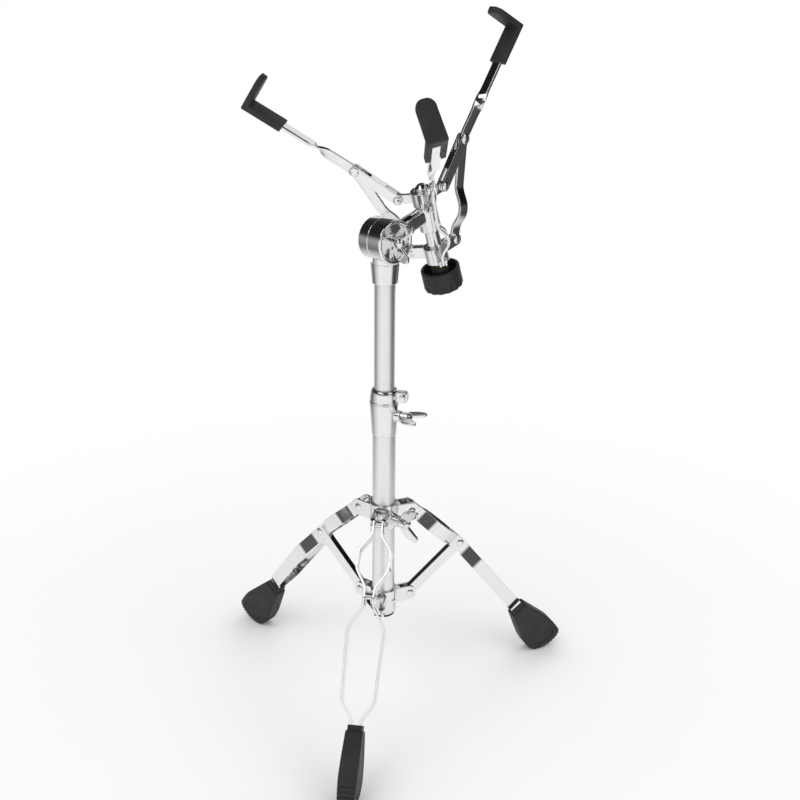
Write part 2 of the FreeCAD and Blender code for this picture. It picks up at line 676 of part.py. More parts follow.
tilter_place = FreeCAD.Placement(Vec(0, 0, tilter_height), FreeCAD.Rotation(Z_WAY, basket_heading))
lean_place = tilter_place.multiply(FreeCAD.Placement(ORIGIN, FreeCAD.Rotation(Y_WAY, -basket_lean)))


def placed(shape, place):
    copy = shape.copy()
    copy.transformShape(place.toMatrix(), True)
    return copy


save("tilter_base", placed(tilter_base, tilter_place))
save("tilter_friction_ring", placed(friction_ring, tilter_place))
save("tilter_bolt", placed(bolt, tilter_place))
save("tilter_wing_nut", placed(nut, tilter_place))

# Tilting half with its neck and the sleeve of the basket
head_front = tilter_seam + side_gap
neck_centre = (head_front + tilter_half_length) / 2
neck_thickness = tilter_half_length - head_front - 2 * neck_inset
neck_half = neck_thickness / 2
neck_high = basket_rise + sleeve_top - neck_inset - neck_half
neck_low = neck_high - neck_height + neck_thickness
head = across(head_front, tilter_half_length, tilter_radius - side_gap, edge_round, drum_edge_round)
neck_foot = Vec(0, neck_centre - neck_half, neck_low)
neck = Part.makeBox(basket_offset, neck_thickness, neck_high - neck_low, neck_foot)
for z in (neck_low, neck_high):
    neck = neck.fuse(Part.makeCylinder(neck_half, basket_offset, Vec(0, neck_centre, z), X_WAY))
sleeve_place = Vec(basket_offset, neck_centre, basket_rise)
sleeve = ring(sleeve_radius, rod_tube_radius, sleeve_bottom, sleeve_top, edge_round)
sleeve.translate(sleeve_place)
head = head.fuse(neck).fuse(sleeve)
head = head.cut(across(head_front, tilter_half_length, tilter_bolt_radius + running_gap))
pocket_end = head_front + friction_ring_height
pocket = across(head_front, pocket_end, friction_ring_outer + side_gap)
head = head.cut(pocket.cut(across(head_front, pocket_end, friction_ring_inner - side_gap)))
sleeve_foot = sleeve_place + Vec(0, 0, sleeve_bottom)
rod_bore = Part.makeCylinder(rod_tube_radius, sleeve_top - sleeve_bottom, sleeve_foot)
head = head.cut(rod_bore).removeSplitter()
save("tilter_head", placed(head, lean_place))

# Basket frame: Z along the rod, origin on it at the height of the link pivots
basket_place = lean_place.multiply(FreeCAD.Placement(sleeve_place, FreeCAD.Rotation()))
rod = Part.makeCylinder(rod_tube_radius, upper_hub_top - rod_tube_bottom, Vec(0, 0, rod_tube_bottom))
thread = Part.makeCylinder(rod_radius, rod_tube_bottom - rod_bottom, Vec(0, 0, rod_bottom))
rod = rod.fuse(thread).removeSplitter()
save("basket_rod", placed(rod, basket_place))
cap = Part.makeCylinder(cap_nut_radius, cap_nut_height / 2, Vec(0, 0, upper_hub_top))
cap_shoulder = Vec(0, 0, upper_hub_top + cap_nut_height / 2)
cap = cap.fuse(Part.makeCone(cap_nut_radius, cap_nut_radius / 2, cap_nut_height / 2, cap_shoulder))
save("rod_cap", placed(cap.removeSplitter(), basket_place))

arm_turn = 360 / arm_count
arm_angles = {name: first_arm_angle + i * arm_turn for i, name in enumerate(("right", "left", "front"))}
link_pivot = (ear_pivot_radius, 0)
arm_pivot = (ear_pivot_radius, arm_pivot_height)
rivet_point = (rivet_radius_out, rivet_height)
upper_hub = ring(hub_ring_radius, rod_tube_radius, sleeve_top, upper_hub_top, edge_round)
lower_bore = rod_tube_radius + running_gap
lower_hub = ring(hub_ring_radius, lower_bore, lower_hub_bottom, lower_hub_top, edge_round)
ear_half = upper_ear_thickness / 2
clevis_inner = arm_thickness / 2 + side_gap
clevis_outer = clevis_inner + ear_thickness
link_inner = ear_half + side_gap
link_outer = link_inner + link_wall
for angle in arm_angles.values():
    ear = bar((hub_ring_radius - collar_wall, 0), link_pivot, upper_ear_width / 2, -ear_half, ear_half)
    upper_hub = upper_hub.fuse(turn(ear.cut(cross_hole(link_pivot, pin_radius, wide)), angle))
    clevis_root = (hub_ring_radius - collar_wall, arm_pivot_height)
    clevis = bar(clevis_root, arm_pivot, lower_ear_width / 2, -clevis_outer, clevis_outer)
    gap_low = (hub_ring_radius + side_gap, arm_pivot_height - lower_ear_width)
    gap_high = (2 * ear_pivot_radius, arm_pivot_height + lower_ear_width)
    clevis = clevis.cut(plate([gap_low, (gap_high[0], gap_low[1]), gap_high, (gap_low[0], gap_high[1])],
                              -clevis_inner, clevis_inner))
    lower_hub = lower_hub.fuse(turn(clevis.cut(cross_hole(arm_pivot, pin_radius, wide)), angle))
rod_foot = Vec(0, 0, rod_bottom)
upper_hub = upper_hub.cut(Part.makeCylinder(rod_tube_radius, upper_hub_top - rod_bottom, rod_foot))
lower_hub = lower_hub.cut(Part.makeCylinder(lower_bore, upper_hub_top - rod_bottom, rod_foot))
save("upper_hub", placed(upper_hub.removeSplitter(), basket_place))
save("lower_hub", placed(lower_hub.removeSplitter(), basket_place))
pin = headed_pin(link_pivot, pin_radius, link_outer + side_gap, pin_head_radius, pin_head_height)
save("link_pins", *[placed(turn(pin, angle), basket_place) for angle in arm_angles.values()])
pin = headed_pin(arm_pivot, pin_radius, clevis_outer, pin_head_radius, pin_head_height)
save("arm_pins", *[placed(turn(pin, angle), basket_place) for angle in arm_angles.values()])

# Arm: a flat strip bent sideways above the lower hub, straight past the rivet, with a quarter twist and an
# upturned end in the pad
slope = math.radians(arm_slope)
reach_way = Vec(math.cos(slope), 0, math.sin(slope))
finger_way = Vec(-math.sin(slope), 0, math.cos(slope))
rivet_vec = Vec(rivet_radius_out, 0, rivet_height)
arm_half = arm_thickness / 2
twist_start = rivet_vec + reach_way * arm_twist_start
strip = bar(rivet_point, (twist_start.x, twist_start.z), arm_width / 2, -arm_half, arm_half)
end_outline = [(0, -arm_width), (arm_twist_start, -arm_width), (arm_twist_start, arm_width), (0, arm_width)]
square_end = plate(end_outline, -2 * arm_half, 2 * arm_half)
square_end = turn(square_end, -arm_slope, Y_WAY)
square_end.translate(rivet_vec)
strip = strip.common(square_end)
pivot_vec = Vec(ear_pivot_radius, 0, arm_pivot_height)
lower_way = rivet_vec - pivot_vec
lower_length = lower_way.Length
lower_way = lower_way / lower_length
lower_depth = Y_WAY.cross(lower_way) * (2 * arm_width)
jog_line = [(-arm_width, 0)]
for share, across_line in zip(arm_jog_shares, (0, arm_jog, arm_jog, 0)):
    jog_line.append((lower_length * share, across_line))
jog_line.append((lower_length + arm_width, 0))
near_line = offset_line(jog_line, -arm_half)
far_line = offset_line(jog_line, arm_half)
jog_radii = bend_radii(near_line, arm_thickness, 0) + bend_radii(far_line, 0, arm_thickness)[::-1]
lower_side = bar(arm_pivot, rivet_point, arm_width / 2, -wide, wide)
lower_arms = {}
for side in (1, -1):
    start = pivot_vec - lower_depth / 2
    corners = [start + lower_way * s + Y_WAY * (side * g) for s, g in near_line + far_line[::-1]]
    sheet = Part.Face(rounded_wire(corners, jog_radii)).extrude(lower_depth)
    lower_arms[side] = lower_side.common(sheet)


def twisted_section(share):
    """Arm cross-section turned by a share of a quarter turn, part-way along the twist."""
    centre = twist_start + reach_way * (arm_twist_length * share)
    half_turn = math.radians(90 * share)
    wide_way = finger_way * math.cos(half_turn) + Y_WAY * math.sin(half_turn)
    thin_way = Y_WAY * math.cos(half_turn) - finger_way * math.sin(half_turn)
    corners = []
    for p, q in ((1, 1), (1, -1), (-1, -1), (-1, 1)):
        corners.append(centre + wide_way * (p * arm_width / 2) + thin_way * (q * arm_half))
    return Part.makePolygon(corners + corners[:1])


for step in range(arm_twist_steps):
    pair = [twisted_section(step / arm_twist_steps), twisted_section((step + 1) / arm_twist_steps)]
    strip = strip.fuse(Part.makeLoft(pair, True, True))
tip_start = twist_start + reach_way * arm_twist_length
corner = rivet_vec + reach_way * arm_corner_reach


def beam(start, way, length, normal, thickness, width):
    """Straight bar along a direction; thickness along the normal, width along Y, centred."""
    across_vec = normal * (thickness / 2)
    side_vec = Y_WAY * (width / 2)
    corners = [start + across_vec + side_vec, start - across_vec + side_vec,
               start - across_vec - side_vec, start + across_vec - side_vec]
    return Part.Face(Part.makePolygon(corners + corners[:1])).extrude(way * length)


tip_length = (corner - tip_start).dot(reach_way) + arm_half
strip = strip.fuse(beam(tip_start, reach_way, tip_length, finger_way, arm_thickness, arm_width))
lean = math.radians(pad_finger_lean)
finger_out = reach_way * math.cos(lean) + finger_way * math.sin(lean)
finger_up = finger_way * math.cos(lean) - reach_way * math.sin(lean)
finger_start = corner - finger_up * arm_half
finger_length = pad_finger_length + arm_half - finger_end_wall
finger = beam(finger_start, finger_up, finger_length, finger_out, arm_thickness, arm_width)
strip = strip.fuse(finger)
arm_strips = {}
for side, lower_arm in lower_arms.items():
    whole = lower_arm.fuse(strip).cut(cross_hole(arm_pivot, pin_hole, wide))
    arm_strips[side] = whole.cut(cross_hole(rivet_point, pin_radius, wide)).removeSplitter()

# Pad: rubber over the end of the arm
pad_half = pad_thickness / 2
finger_half = pad_finger_thickness / 2
pad_mouth = finger_half - pad_sleeve_length
bend_rise = (pad_half + finger_half * math.sin(lean)) / math.cos(lean)
bend_out = finger_out * finger_half - finger_up * bend_rise
finger_tip = finger_up * pad_finger_length
mouth_middle = reach_way * pad_mouth
pad_side = [mouth_middle - finger_way * pad_half, bend_out, finger_tip + finger_out * finger_half,
            finger_tip - finger_out * finger_half, bend_out * -1, mouth_middle + finger_way * pad_half]
side_corners = [corner + point - Y_WAY * (pad_width / 2) for point in pad_side]
pad = Part.Face(rounded_wire(side_corners, [pad_corner_radius] * len(side_corners)))
pad = pad.extrude(Y_WAY * pad_width)
pad_face = [(-pad_width / 2, -pad_half), (pad_width / 2, -pad_half), (pad_tip_width / 2, pad_finger_length),
            (-pad_tip_width / 2, pad_finger_length)]
face_start = corner - finger_out * pad_sleeve_length
face_corners = [face_start + Y_WAY * u + finger_up * v for u, v in pad_face]
front_view = Part.Face(rounded_wire(face_corners, [pad_tip_radius] * len(face_corners)))
front_view = front_view.extrude(finger_out * (2 * pad_sleeve_length))
low_start = corner - reach_way * pad_sleeve_length
low_block = beam(low_start, reach_way, 2 * pad_sleeve_length, finger_way, pad_thickness, pad_width)
pad = pad.common(front_view.fuse(low_block)).removeSplitter().cut(strip)
slot_start = corner + reach_way * pad_mouth - finger_way * ((pad_half + arm_half) / 2)
slot_length = -pad_mouth - pad_slot_wall
pad = pad.cut(beam(slot_start, reach_way, slot_length, finger_way, pad_half - arm_half, pad_slot_width))

# Link: a narrow channel from the upper hub to the arm's rivet, its web on top
link = bar(link_pivot, rivet_point, link_width / 2, -link_outer, link_outer)
link_way = Vec(rivet_radius_out - ear_pivot_radius, 0, rivet_height)
link_side = Y_WAY.cross(link_way).normalize()
if link_side.z > 0:
    link_side = link_side * -1
shift = link_side * (link_width / 2)
inside = bar(link_pivot, rivet_point, link_width, -link_inner, link_inner)
web_line = Vec(ear_pivot_radius, 0, 0) - shift + link_side * (link_wall / 2)
web_ends = [web_line + link_way * share for share in link_web_shares]
web = bar(*[(point.x, point.z) for point in web_ends], link_wall / 2, -link_outer, link_outer)
link = link.cut(inside).fuse(web).removeSplitter()
link = link.cut(cross_hole(link_pivot, pin_hole, wide))
link = link.cut(cross_hole(rivet_point, pin_radius + link_hole_play, wide))
rivet = headed_pin(rivet_point, pin_radius, link_outer + side_gap, link_width / 2, pin_head_height)
for name, angle in arm_angles.items():
    save(name + "_arm_strip", placed(turn(arm_strips[arm_jog_sides[name]], angle), basket_place))
    save(name + "_arm_pad", placed(turn(pad, angle), basket_place))
    save(name + "_arm_rivet", placed(turn(rivet, angle), basket_place))
    save(name + "_arm_link", placed(turn(link, angle), basket_place))

# Knob: a scalloped cup with a threaded insert that turns on the rod
knob = turned([(0, knob_bottom), (knob_radius, knob_bottom), (knob_radius, knob_top), (0, knob_top)],
              [0, 2 * edge_round, edge_round, 0])
cup = Part.makeCylinder(knob_radius - knob_wall, knob_top - insert_bottom, Vec(0, 0, insert_bottom))
cup = cup.cut(Part.makeCylinder(knob_boss_radius, knob_top - insert_bottom, Vec(0, 0, insert_bottom)))
knob = knob.cut(cup)
knob = knob.cut(Part.makeCylinder(knob_insert_radius, knob_top - insert_bottom, Vec(0, 0, insert_bottom)))
for i in range(knob_scallop_count):
    scallop_place = knob_radius + knob_scallop_radius - knob_scallop_depth
    spot = radial(scallop_place, i * 360 / knob_scallop_count, knob_bottom)
    knob = knob.cut(Part.makeCylinder(knob_scallop_radius, knob_scallop_height, spot))
insert = ring(knob_insert_radius, rod_radius + running_gap, insert_bottom, insert_top)
save("basket_knob", placed(knob.removeSplitter(), basket_place))
save("knob_insert", placed(insert, basket_place))
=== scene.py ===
import json
import math

import bmesh
import bpy
import numpy as np
from mathutils import Matrix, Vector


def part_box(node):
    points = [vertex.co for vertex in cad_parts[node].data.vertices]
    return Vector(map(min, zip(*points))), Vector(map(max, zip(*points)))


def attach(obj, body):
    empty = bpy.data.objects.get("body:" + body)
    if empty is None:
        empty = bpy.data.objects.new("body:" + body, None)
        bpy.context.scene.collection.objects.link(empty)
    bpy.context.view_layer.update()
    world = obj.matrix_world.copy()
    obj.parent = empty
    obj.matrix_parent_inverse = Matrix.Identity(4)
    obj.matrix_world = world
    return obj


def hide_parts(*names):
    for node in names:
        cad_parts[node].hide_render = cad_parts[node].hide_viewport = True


bl_info = {
    "name": "Snare drum stand",
    "version": (1, 0, 0),
    "blender": (4, 5, 0),
    "location": "3D View > Sidebar > Drum stand",
    "description": "Dresses the solids of a folding snare drum stand with rubber, chrome and a plain studio",
    "category": "Object",
}

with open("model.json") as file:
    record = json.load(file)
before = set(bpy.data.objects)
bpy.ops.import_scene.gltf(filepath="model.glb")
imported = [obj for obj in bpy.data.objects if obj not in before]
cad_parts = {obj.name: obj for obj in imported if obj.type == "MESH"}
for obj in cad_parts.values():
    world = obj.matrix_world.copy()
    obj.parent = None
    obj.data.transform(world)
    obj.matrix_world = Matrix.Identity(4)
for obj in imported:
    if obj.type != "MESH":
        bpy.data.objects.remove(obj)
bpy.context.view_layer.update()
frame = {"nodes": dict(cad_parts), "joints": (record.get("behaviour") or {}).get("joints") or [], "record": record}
joints = {joint["name"]: joint for joint in frame["joints"]}

LEGS = ("front", "right", "left")
ARMS = ("right", "left", "front")
UP = np.array([0.0, 0.0, 1.0])
WHITE = (1.0, 1.0, 1.0, 1.0)

# Fixed lengths, angles, shares and counts of points, piece by piece, in metres and radians

MERGE_DISTANCE = 1e-6
FLAT_DISTANCE = 1e-7
# Middle range of a noise
NOISE_LOW = 0.3
NOISE_HIGH = 0.7
# Share of a pillow's face, from its centre, inside which its outline is smooth
CORE_SHARE = 0.86

ARM_JOG_SHARES = (0.13, 0.26, 0.36, 0.51)
ARM_JOG_SIDES = {"right": -1, "left": -1, "front": 1}
ARM_JOG_CUTS = (0.006, 0.006, 0.005, 0.006, 0.009)
ARM_SPACING = 0.0011
ARM_EDGE = 0.0006
PAD_CORNER = 0.0022
PAD_CROWN = 0.0016
PAD_SPACING = 0.0006
PAD_TAPER_SHARE = 0.7
PAD_TIP_TURN = math.radians(86)
PAD_SLOT_WALL = 0.010
PAD_SLOT_EASE = 0.0012

# Boot's corners below its mouth, in the leg's plane: distance past the mouth and height above the floor
BOOT_CORNERS = ((0.0061, 0.0190), (0.0136, 0.0070), (0.0226, 0.0), (0.0365, 0.0), (0.0475, 0.0045),
                (0.0568, 0.0130), (0.0590, 0.0208), (0.0460, 0.0390))
BOOT_CUTS = (0.003, 0.007, 0.006, 0.006, 0.005, 0.005, 0.005, 0.005, 0.010, 0.003)
BOOT_HEEL = 1
BOOT_TOE = 8
BOOT_POINTS = 420
BOOT_DEPTH_SHARES = (0.0, 0.35, 0.6, 0.8, 1.0)
BOOT_UPPER_SHARE = 0.985
BOOT_LOWER_SHARE = 0.93
BOOT_CENTRE_RISE = 0.002
BOOT_SHIN_RISE = 0.0024
BOOT_LINE_SHARE = 0.70
BOOT_LINE_WIDTH_SHARE = 0.024
# Cosine of the angle from the shin at which the line begins, and its rise until the line is full
BOOT_LINE_START = 0.35
BOOT_LINE_SPAN = 0.3
TREAD_HEEL_EASE = 0.006
TREAD_TOE_EASE = 0.010
BOOT_COLLAR_DEPTH = 0.004
BOOT_COLLAR_CUT = 0.0012
BOOT_COLLAR_EDGE = 0.0009
BOOT_COLLAR_POINTS = 90

KNOB_FLOOR = 0.006
KNOB_FOOT_ROUND = 0.0024
KNOB_RIM_ROUND = 0.0012
KNOB_CHAMFER = 0.0006
KNOB_FILLET = 0.003
KNOB_BOSS = 0.0095
KNOB_BOSS_FILLET = 0.002
KNOB_BORE = 0.00702
KNOB_UNDER_RADII = (0.0, 0.010, 0.016)
KNOB_WALL_FOOT = 0.003
KNOB_WALL_RIM = 0.0016
KNOB_WALL_ROWS = 24
KNOB_SCALLOP_RISE = 0.0105
KNOB_SCALLOP_EASE = 0.004
KNOB_SCALLOP_START = 0.0004
KNOB_SCALLOP_WALL = 0.002
KNOB_SCALLOP_POINTS = 14

BAND_EDGE = 0.0005
BAND_LIP_EDGE = 0.0006
BAND_POINTS = 96
LUG_ROOT = 0.001
LUG_LOW = 0.0012
LUG_HIGH = 0.0022
LUG_CUTS = (0.0005, 0.0042, 0.0042, 0.0005)
LUG_EDGE = 0.0008
LUG_POINTS = 110

WING_SHANK = 0.003
WING_CHAMFER = 0.0006
WING_DOME_SHARE = 0.8
HUB_POINTS = 72
# Leaf's corners as shares of its length and its reach
LEAF_SHARES = ((0.05, 0.10), (0.40, 0.10), (0.72, 0.40), (1.0, 0.66), (1.0, 0.92), (0.88, 1.0), (0.58, 0.98),
               (0.22, 0.76), (0.04, 0.42))
LEAF_CENTRE_SHARES = (0.50, 0.58)
LEAF_CUTS = (0.002, 0.002, 0.006, 0.003, 0.003, 0.003, 0.006, 0.006, 0.002)
LEAF_EDGE = 0.0009
LEAF_ROOT_SHARE = 1.25
LEAF_TAPER_SHARE = 0.35
LEAF_POINTS = 150

# Width of the camera's sensor in millimetres
SENSOR_WIDTH = 36.0
FLOOR_RADIUS = 3.0
FLOOR_DROP = -0.0004
FLOOR_POINTS = 96
FLOOR_FADE_START = 0.15
FLOOR_FADE_END = 1.05
# Each lamp: its place, the point it looks at, its size and its power
LAMPS = {"key_softbox": ((-1.1, -1.2, 2.3), (0.0, 0.0, 0.3), 1.4, 9.0),
         "fill_softbox": ((1.6, -0.7, 1.7), (0.0, 0.0, 0.35), 1.2, 5.0),
         "back_softbox": ((0.3, 1.7, 1.9), (0.0, 0.0, 0.35), 1.4, 5.0),
         "front_softbox": ((-0.36, -2.02, 1.60), (0.0, -0.1, 0.15), 0.8, 2.0)}
# Grey of the room that shiny surfaces mirror, by the height and the bearing of a direction
CEILING_STOPS = ((0.0, 0.97), (0.50, 1.0), (0.57, 0.60), (0.63, 0.10), (0.86, 0.03), (1.0, 0.02))
FLAG_STOPS = ((0.0, 0.20), (0.03, 0.50), (0.08, 0.72), (0.14, 1.0), (0.40, 0.95), (0.44, 0.80), (0.475, 0.08),
              (0.55, 0.06), (0.61, 0.12), (0.66, 0.60), (0.70, 1.0), (0.82, 1.0), (0.88, 0.50), (0.93, 0.20),
              (1.0, 0.20))


# Sizes and colours that a user would change


class RubberBootSizes(bpy.types.PropertyGroup):
    """Sizes of the rubber boots at the ends of the legs."""
    mouth_radius: bpy.props.FloatProperty(
        name="Mouth distance", description="Distance of the boot's mouth from the column",
        default=0.1759, unit="LENGTH")
    mouth_height: bpy.props.FloatProperty(
        name="Mouth height", description="Height of the boot's mouth above the floor", default=0.0626, unit="LENGTH")
    mouth_half_width: bpy.props.FloatProperty(
        name="Mouth half width", description="Half the width of the mouth in the leg's plane",
        default=0.0108, unit="LENGTH")
    mouth_thickness: bpy.props.FloatProperty(
        name="Mouth thickness", description="Thickness of the boot at its mouth", default=0.018, unit="LENGTH")
    widest_thickness: bpy.props.FloatProperty(
        name="Widest thickness", description="Thickness of the boot where it is widest", default=0.020, unit="LENGTH")
    sole_thickness: bpy.props.FloatProperty(
        name="Sole thickness", description="Thickness of the boot at its sole", default=0.015, unit="LENGTH")
    edge: bpy.props.FloatProperty(
        name="Edge radius", description="Rounding of the boot's moulded edges", default=0.0022, unit="LENGTH")
    tread_pitch: bpy.props.FloatProperty(
        name="Tread pitch", description="Distance between two grooves of the tread", default=0.0050, unit="LENGTH")
    tread_depth: bpy.props.FloatProperty(
        name="Tread depth", description="Depth of the tread's grooves", default=0.0015, unit="LENGTH")
    line_depth: bpy.props.FloatProperty(
        name="Line depth", description="Depth of the moulded line above the sole", default=0.0012, unit="LENGTH")
    collar_width: bpy.props.FloatProperty(
        name="Collar width", description="Width of the collar at the mouth", default=0.0172, unit="LENGTH")
    collar_height: bpy.props.FloatProperty(
        name="Collar height", description="How far the collar stands out of the mouth", default=0.0050, unit="LENGTH")
    collar_thickness: bpy.props.FloatProperty(
        name="Collar thickness", description="Thickness of the collar over both strips", default=0.0150, unit="LENGTH")


class ArmSizes(bpy.types.PropertyGroup):
    """Sizes of the basket's arms and their rubber pads."""
    width: bpy.props.FloatProperty(
        name="Strip width", description="Width of an arm's flat strip", default=0.0114, unit="LENGTH")
    thickness: bpy.props.FloatProperty(
        name="Strip thickness", description="Thickness of an arm's flat strip", default=0.0032, unit="LENGTH")
    slope: bpy.props.FloatProperty(
        name="Slope", description="Slope of an arm's outer half", default=math.radians(39.8), unit="ROTATION")
    twist_start: bpy.props.FloatProperty(
        name="Twist start", description="Where the quarter twist starts past the rivet", default=0.030, unit="LENGTH")
    twist_length: bpy.props.FloatProperty(
        name="Twist length", description="Length of the quarter twist", default=0.028, unit="LENGTH")
    reach: bpy.props.FloatProperty(
        name="Reach", description="Distance from the rivet to the pad's corner", default=0.132, unit="LENGTH")
    pad_width: bpy.props.FloatProperty(
        name="Pad width", description="Width of the rubber pad", default=0.0198, unit="LENGTH")
    pad_tip_width: bpy.props.FloatProperty(
        name="Pad tip width", description="Width of the pad's finger at its tip", default=0.0192, unit="LENGTH")
    pad_thickness: bpy.props.FloatProperty(
        name="Sleeve thickness", description="Thickness of the pad's sleeve", default=0.0066, unit="LENGTH")
    finger_thickness: bpy.props.FloatProperty(
        name="Finger thickness", description="Thickness of the pad's finger", default=0.0064, unit="LENGTH")
    sleeve_length: bpy.props.FloatProperty(
        name="Sleeve length", description="Length of the pad's sleeve", default=0.0465, unit="LENGTH")
    finger_length: bpy.props.FloatProperty(
        name="Finger length", description="Length of the pad's finger", default=0.040, unit="LENGTH")
    finger_lean: bpy.props.FloatProperty(
        name="Finger lean", description="How far the finger leans in from square", default=math.radians(6.0),
        unit="ROTATION")
    jog: bpy.props.FloatProperty(
        name="Sideways step", description="How far the strip steps aside above the hub", default=0.0095, unit="LENGTH")
    edge: bpy.props.FloatProperty(
        name="Pad edge radius", description="Rounding of the pad's moulded edges", default=0.0011, unit="LENGTH")
    slot_width: bpy.props.FloatProperty(
        name="Slot width", description="Width of the open slot under the sleeve", default=0.0094, unit="LENGTH")


class KnobSizes(bpy.types.PropertyGroup):
    """Sizes of the scalloped knob under the basket."""
    radius: bpy.props.FloatProperty(
        name="Radius", description="Outer radius of the knob", default=0.0217, unit="LENGTH")
    height: bpy.props.FloatProperty(
        name="Height", description="Height of the knob", default=0.024, unit="LENGTH")
    wall: bpy.props.FloatProperty(
        name="Wall", description="Thickness of the knob's wall", default=0.0032, unit="LENGTH")
    scallops: bpy.props.IntProperty(
        name="Scallops", description="Number of scallops round the lower edge", default=14, min=3)
    scallop_depth: bpy.props.FloatProperty(
        name="Scallop depth", description="Depth of a scallop", default=0.0013, unit="LENGTH")


class BandSizes(bpy.types.PropertyGroup):
    """Sizes of the split band round the top of the height clamp."""
    bore: bpy.props.FloatProperty(
        name="Bore", description="Radius of the band's bore", default=0.0121, unit="LENGTH")
    foot: bpy.props.FloatProperty(
        name="Foot radius", description="Radius of the band's lower lip", default=0.0162, unit="LENGTH")
    crown: bpy.props.FloatProperty(
        name="Crown radius", description="Radius of the band's upper edge", default=0.0124, unit="LENGTH")
    lip: bpy.props.FloatProperty(
        name="Lip height", description="Height of the lower lip", default=0.0022, unit="LENGTH")
    lug_reach: bpy.props.FloatProperty(
        name="Lug reach", description="Distance of the lugs' ends from the column's axis", default=0.0260,
        unit="LENGTH")
    lug_thickness: bpy.props.FloatProperty(
        name="Lug thickness", description="Thickness of a lug", default=0.0036, unit="LENGTH")
    slit: bpy.props.FloatProperty(
        name="Slit", description="Gap between the two lugs", default=0.0024, unit="LENGTH")
    lug_turn: bpy.props.FloatProperty(
        name="Lug turn", description="Direction of the lugs round the column", default=math.radians(-2.0),
        unit="ROTATION")


class WingSizes(bpy.types.PropertyGroup):
    """Sizes of the wing screws and the wing nut."""
    hub_radius: bpy.props.FloatProperty(
        name="Hub radius", description="Radius of a wing's hub", default=0.0056, unit="LENGTH")
    hub_length: bpy.props.FloatProperty(
        name="Hub length", description="Length of a wing's hub before its dome", default=0.0085, unit="LENGTH")
    reach: bpy.props.FloatProperty(
        name="Reach", description="Distance of a wing's tip from the screw's axis", default=0.019, unit="LENGTH")
    length: bpy.props.FloatProperty(
        name="Length", description="Length of a wing along the screw's axis", default=0.024, unit="LENGTH")
    thickness: bpy.props.FloatProperty(
        name="Thickness", description="Thickness of a wing's leaf", default=0.0034, unit="LENGTH")
    nut_turn: bpy.props.FloatProperty(
        name="Nut turn", description="Turn of the tilter's wing nut", default=math.radians(12), unit="ROTATION")


class FinishColours(bpy.types.PropertyGroup):
    """Colours of the stand's finishes."""
    chrome: bpy.props.FloatVectorProperty(
        name="Chrome", description="Colour of the bright chrome", subtype="COLOR", default=(0.86, 0.86, 0.87))
    tube: bpy.props.FloatVectorProperty(
        name="Tubes", description="Colour of the column's satin chrome", subtype="COLOR", default=(0.88, 0.88, 0.89))
    rubber: bpy.props.FloatVectorProperty(
        name="Rubber", description="Colour of the rubber", subtype="COLOR", default=(0.026, 0.026, 0.027))
    plastic: bpy.props.FloatVectorProperty(
        name="Plastic", description="Colour of the black plastic", subtype="COLOR", default=(0.022, 0.022, 0.023))
    brass: bpy.props.FloatVectorProperty(
        name="Brass", description="Colour of the brass insert", subtype="COLOR", default=(0.72, 0.58, 0.30))
    fibre: bpy.props.FloatVectorProperty(
        name="Fibre", description="Colour of the fibre washer", subtype="COLOR", default=(0.25, 0.20, 0.15))


class StudioSettings(bpy.types.PropertyGroup):
    """Camera, floor and light."""
    focal_length: bpy.props.FloatProperty(
        name="Focal length", description="Focal length on a 36 mm sensor, in millimetres", default=48.915)
    pitch: bpy.props.FloatProperty(
        name="Pitch", description="How far the camera looks down", default=math.radians(21.13), unit="ROTATION")
    yaw: bpy.props.FloatProperty(
        name="Yaw", description="How far the camera looks to the right of the column",
        default=math.radians(0.887), unit="ROTATION")
    roll: bpy.props.FloatProperty(
        name="Roll", description="Roll of the camera", default=math.radians(-0.594), unit="ROTATION")
    distance: bpy.props.FloatProperty(
        name="Distance", description="Distance of the camera from the column on the floor", default=1.0944,
        unit="LENGTH")
    height: bpy.props.FloatProperty(
        name="Height", description="Height of the camera above the floor", default=0.7827, unit="LENGTH")
    heading: bpy.props.FloatProperty(
        name="Heading", description="Turn of the camera round the column", default=math.radians(9.17), unit="ROTATION")
    floor_colour: bpy.props.FloatVectorProperty(
        name="Floor", description="Colour of the floor", subtype="COLOR", default=(0.96, 0.96, 0.96))
    room_light: bpy.props.FloatProperty(
        name="Room light", description="Strength of the even light of the room", default=0.80, min=0)


# Shapes as arrays


def unit(vector):
    """Vector over its own length."""
    return vector / np.linalg.norm(vector)


def placed(points, axes, origin=(0.0, 0.0, 0.0)):
    """Points in a local frame, moved to the part's frame: origin + x * axis 0 + y * axis 1 + z * axis 2."""
    return points @ np.asarray(axes) + np.asarray(origin)


def joint_place(name):
    return np.array(joints[name]["pos_m"], float)


def joint_axis(name):
    return unit(np.array(joints[name]["axis"], float))


def leg_axes(leg):
    """Outward, sideways and upward directions of a leg's plane, from its brace's pivot."""
    place = joint_place("tripod_fold" if leg == "front" else leg + "_brace_fold")
    outward = unit(place * np.array([1.0, 1.0, 0.0]))
    return np.stack([outward, np.cross(UP, outward), UP])


def arm_axes(arm):
    """Outward, sideways and upward directions of an arm's plane, from its pivot and the knob's axis."""
    sideways = -joint_axis(arm + "_arm_swing")
    upward = joint_axis("knob_turn")
    return np.stack([unit(np.cross(sideways, upward)), sideways, upward])


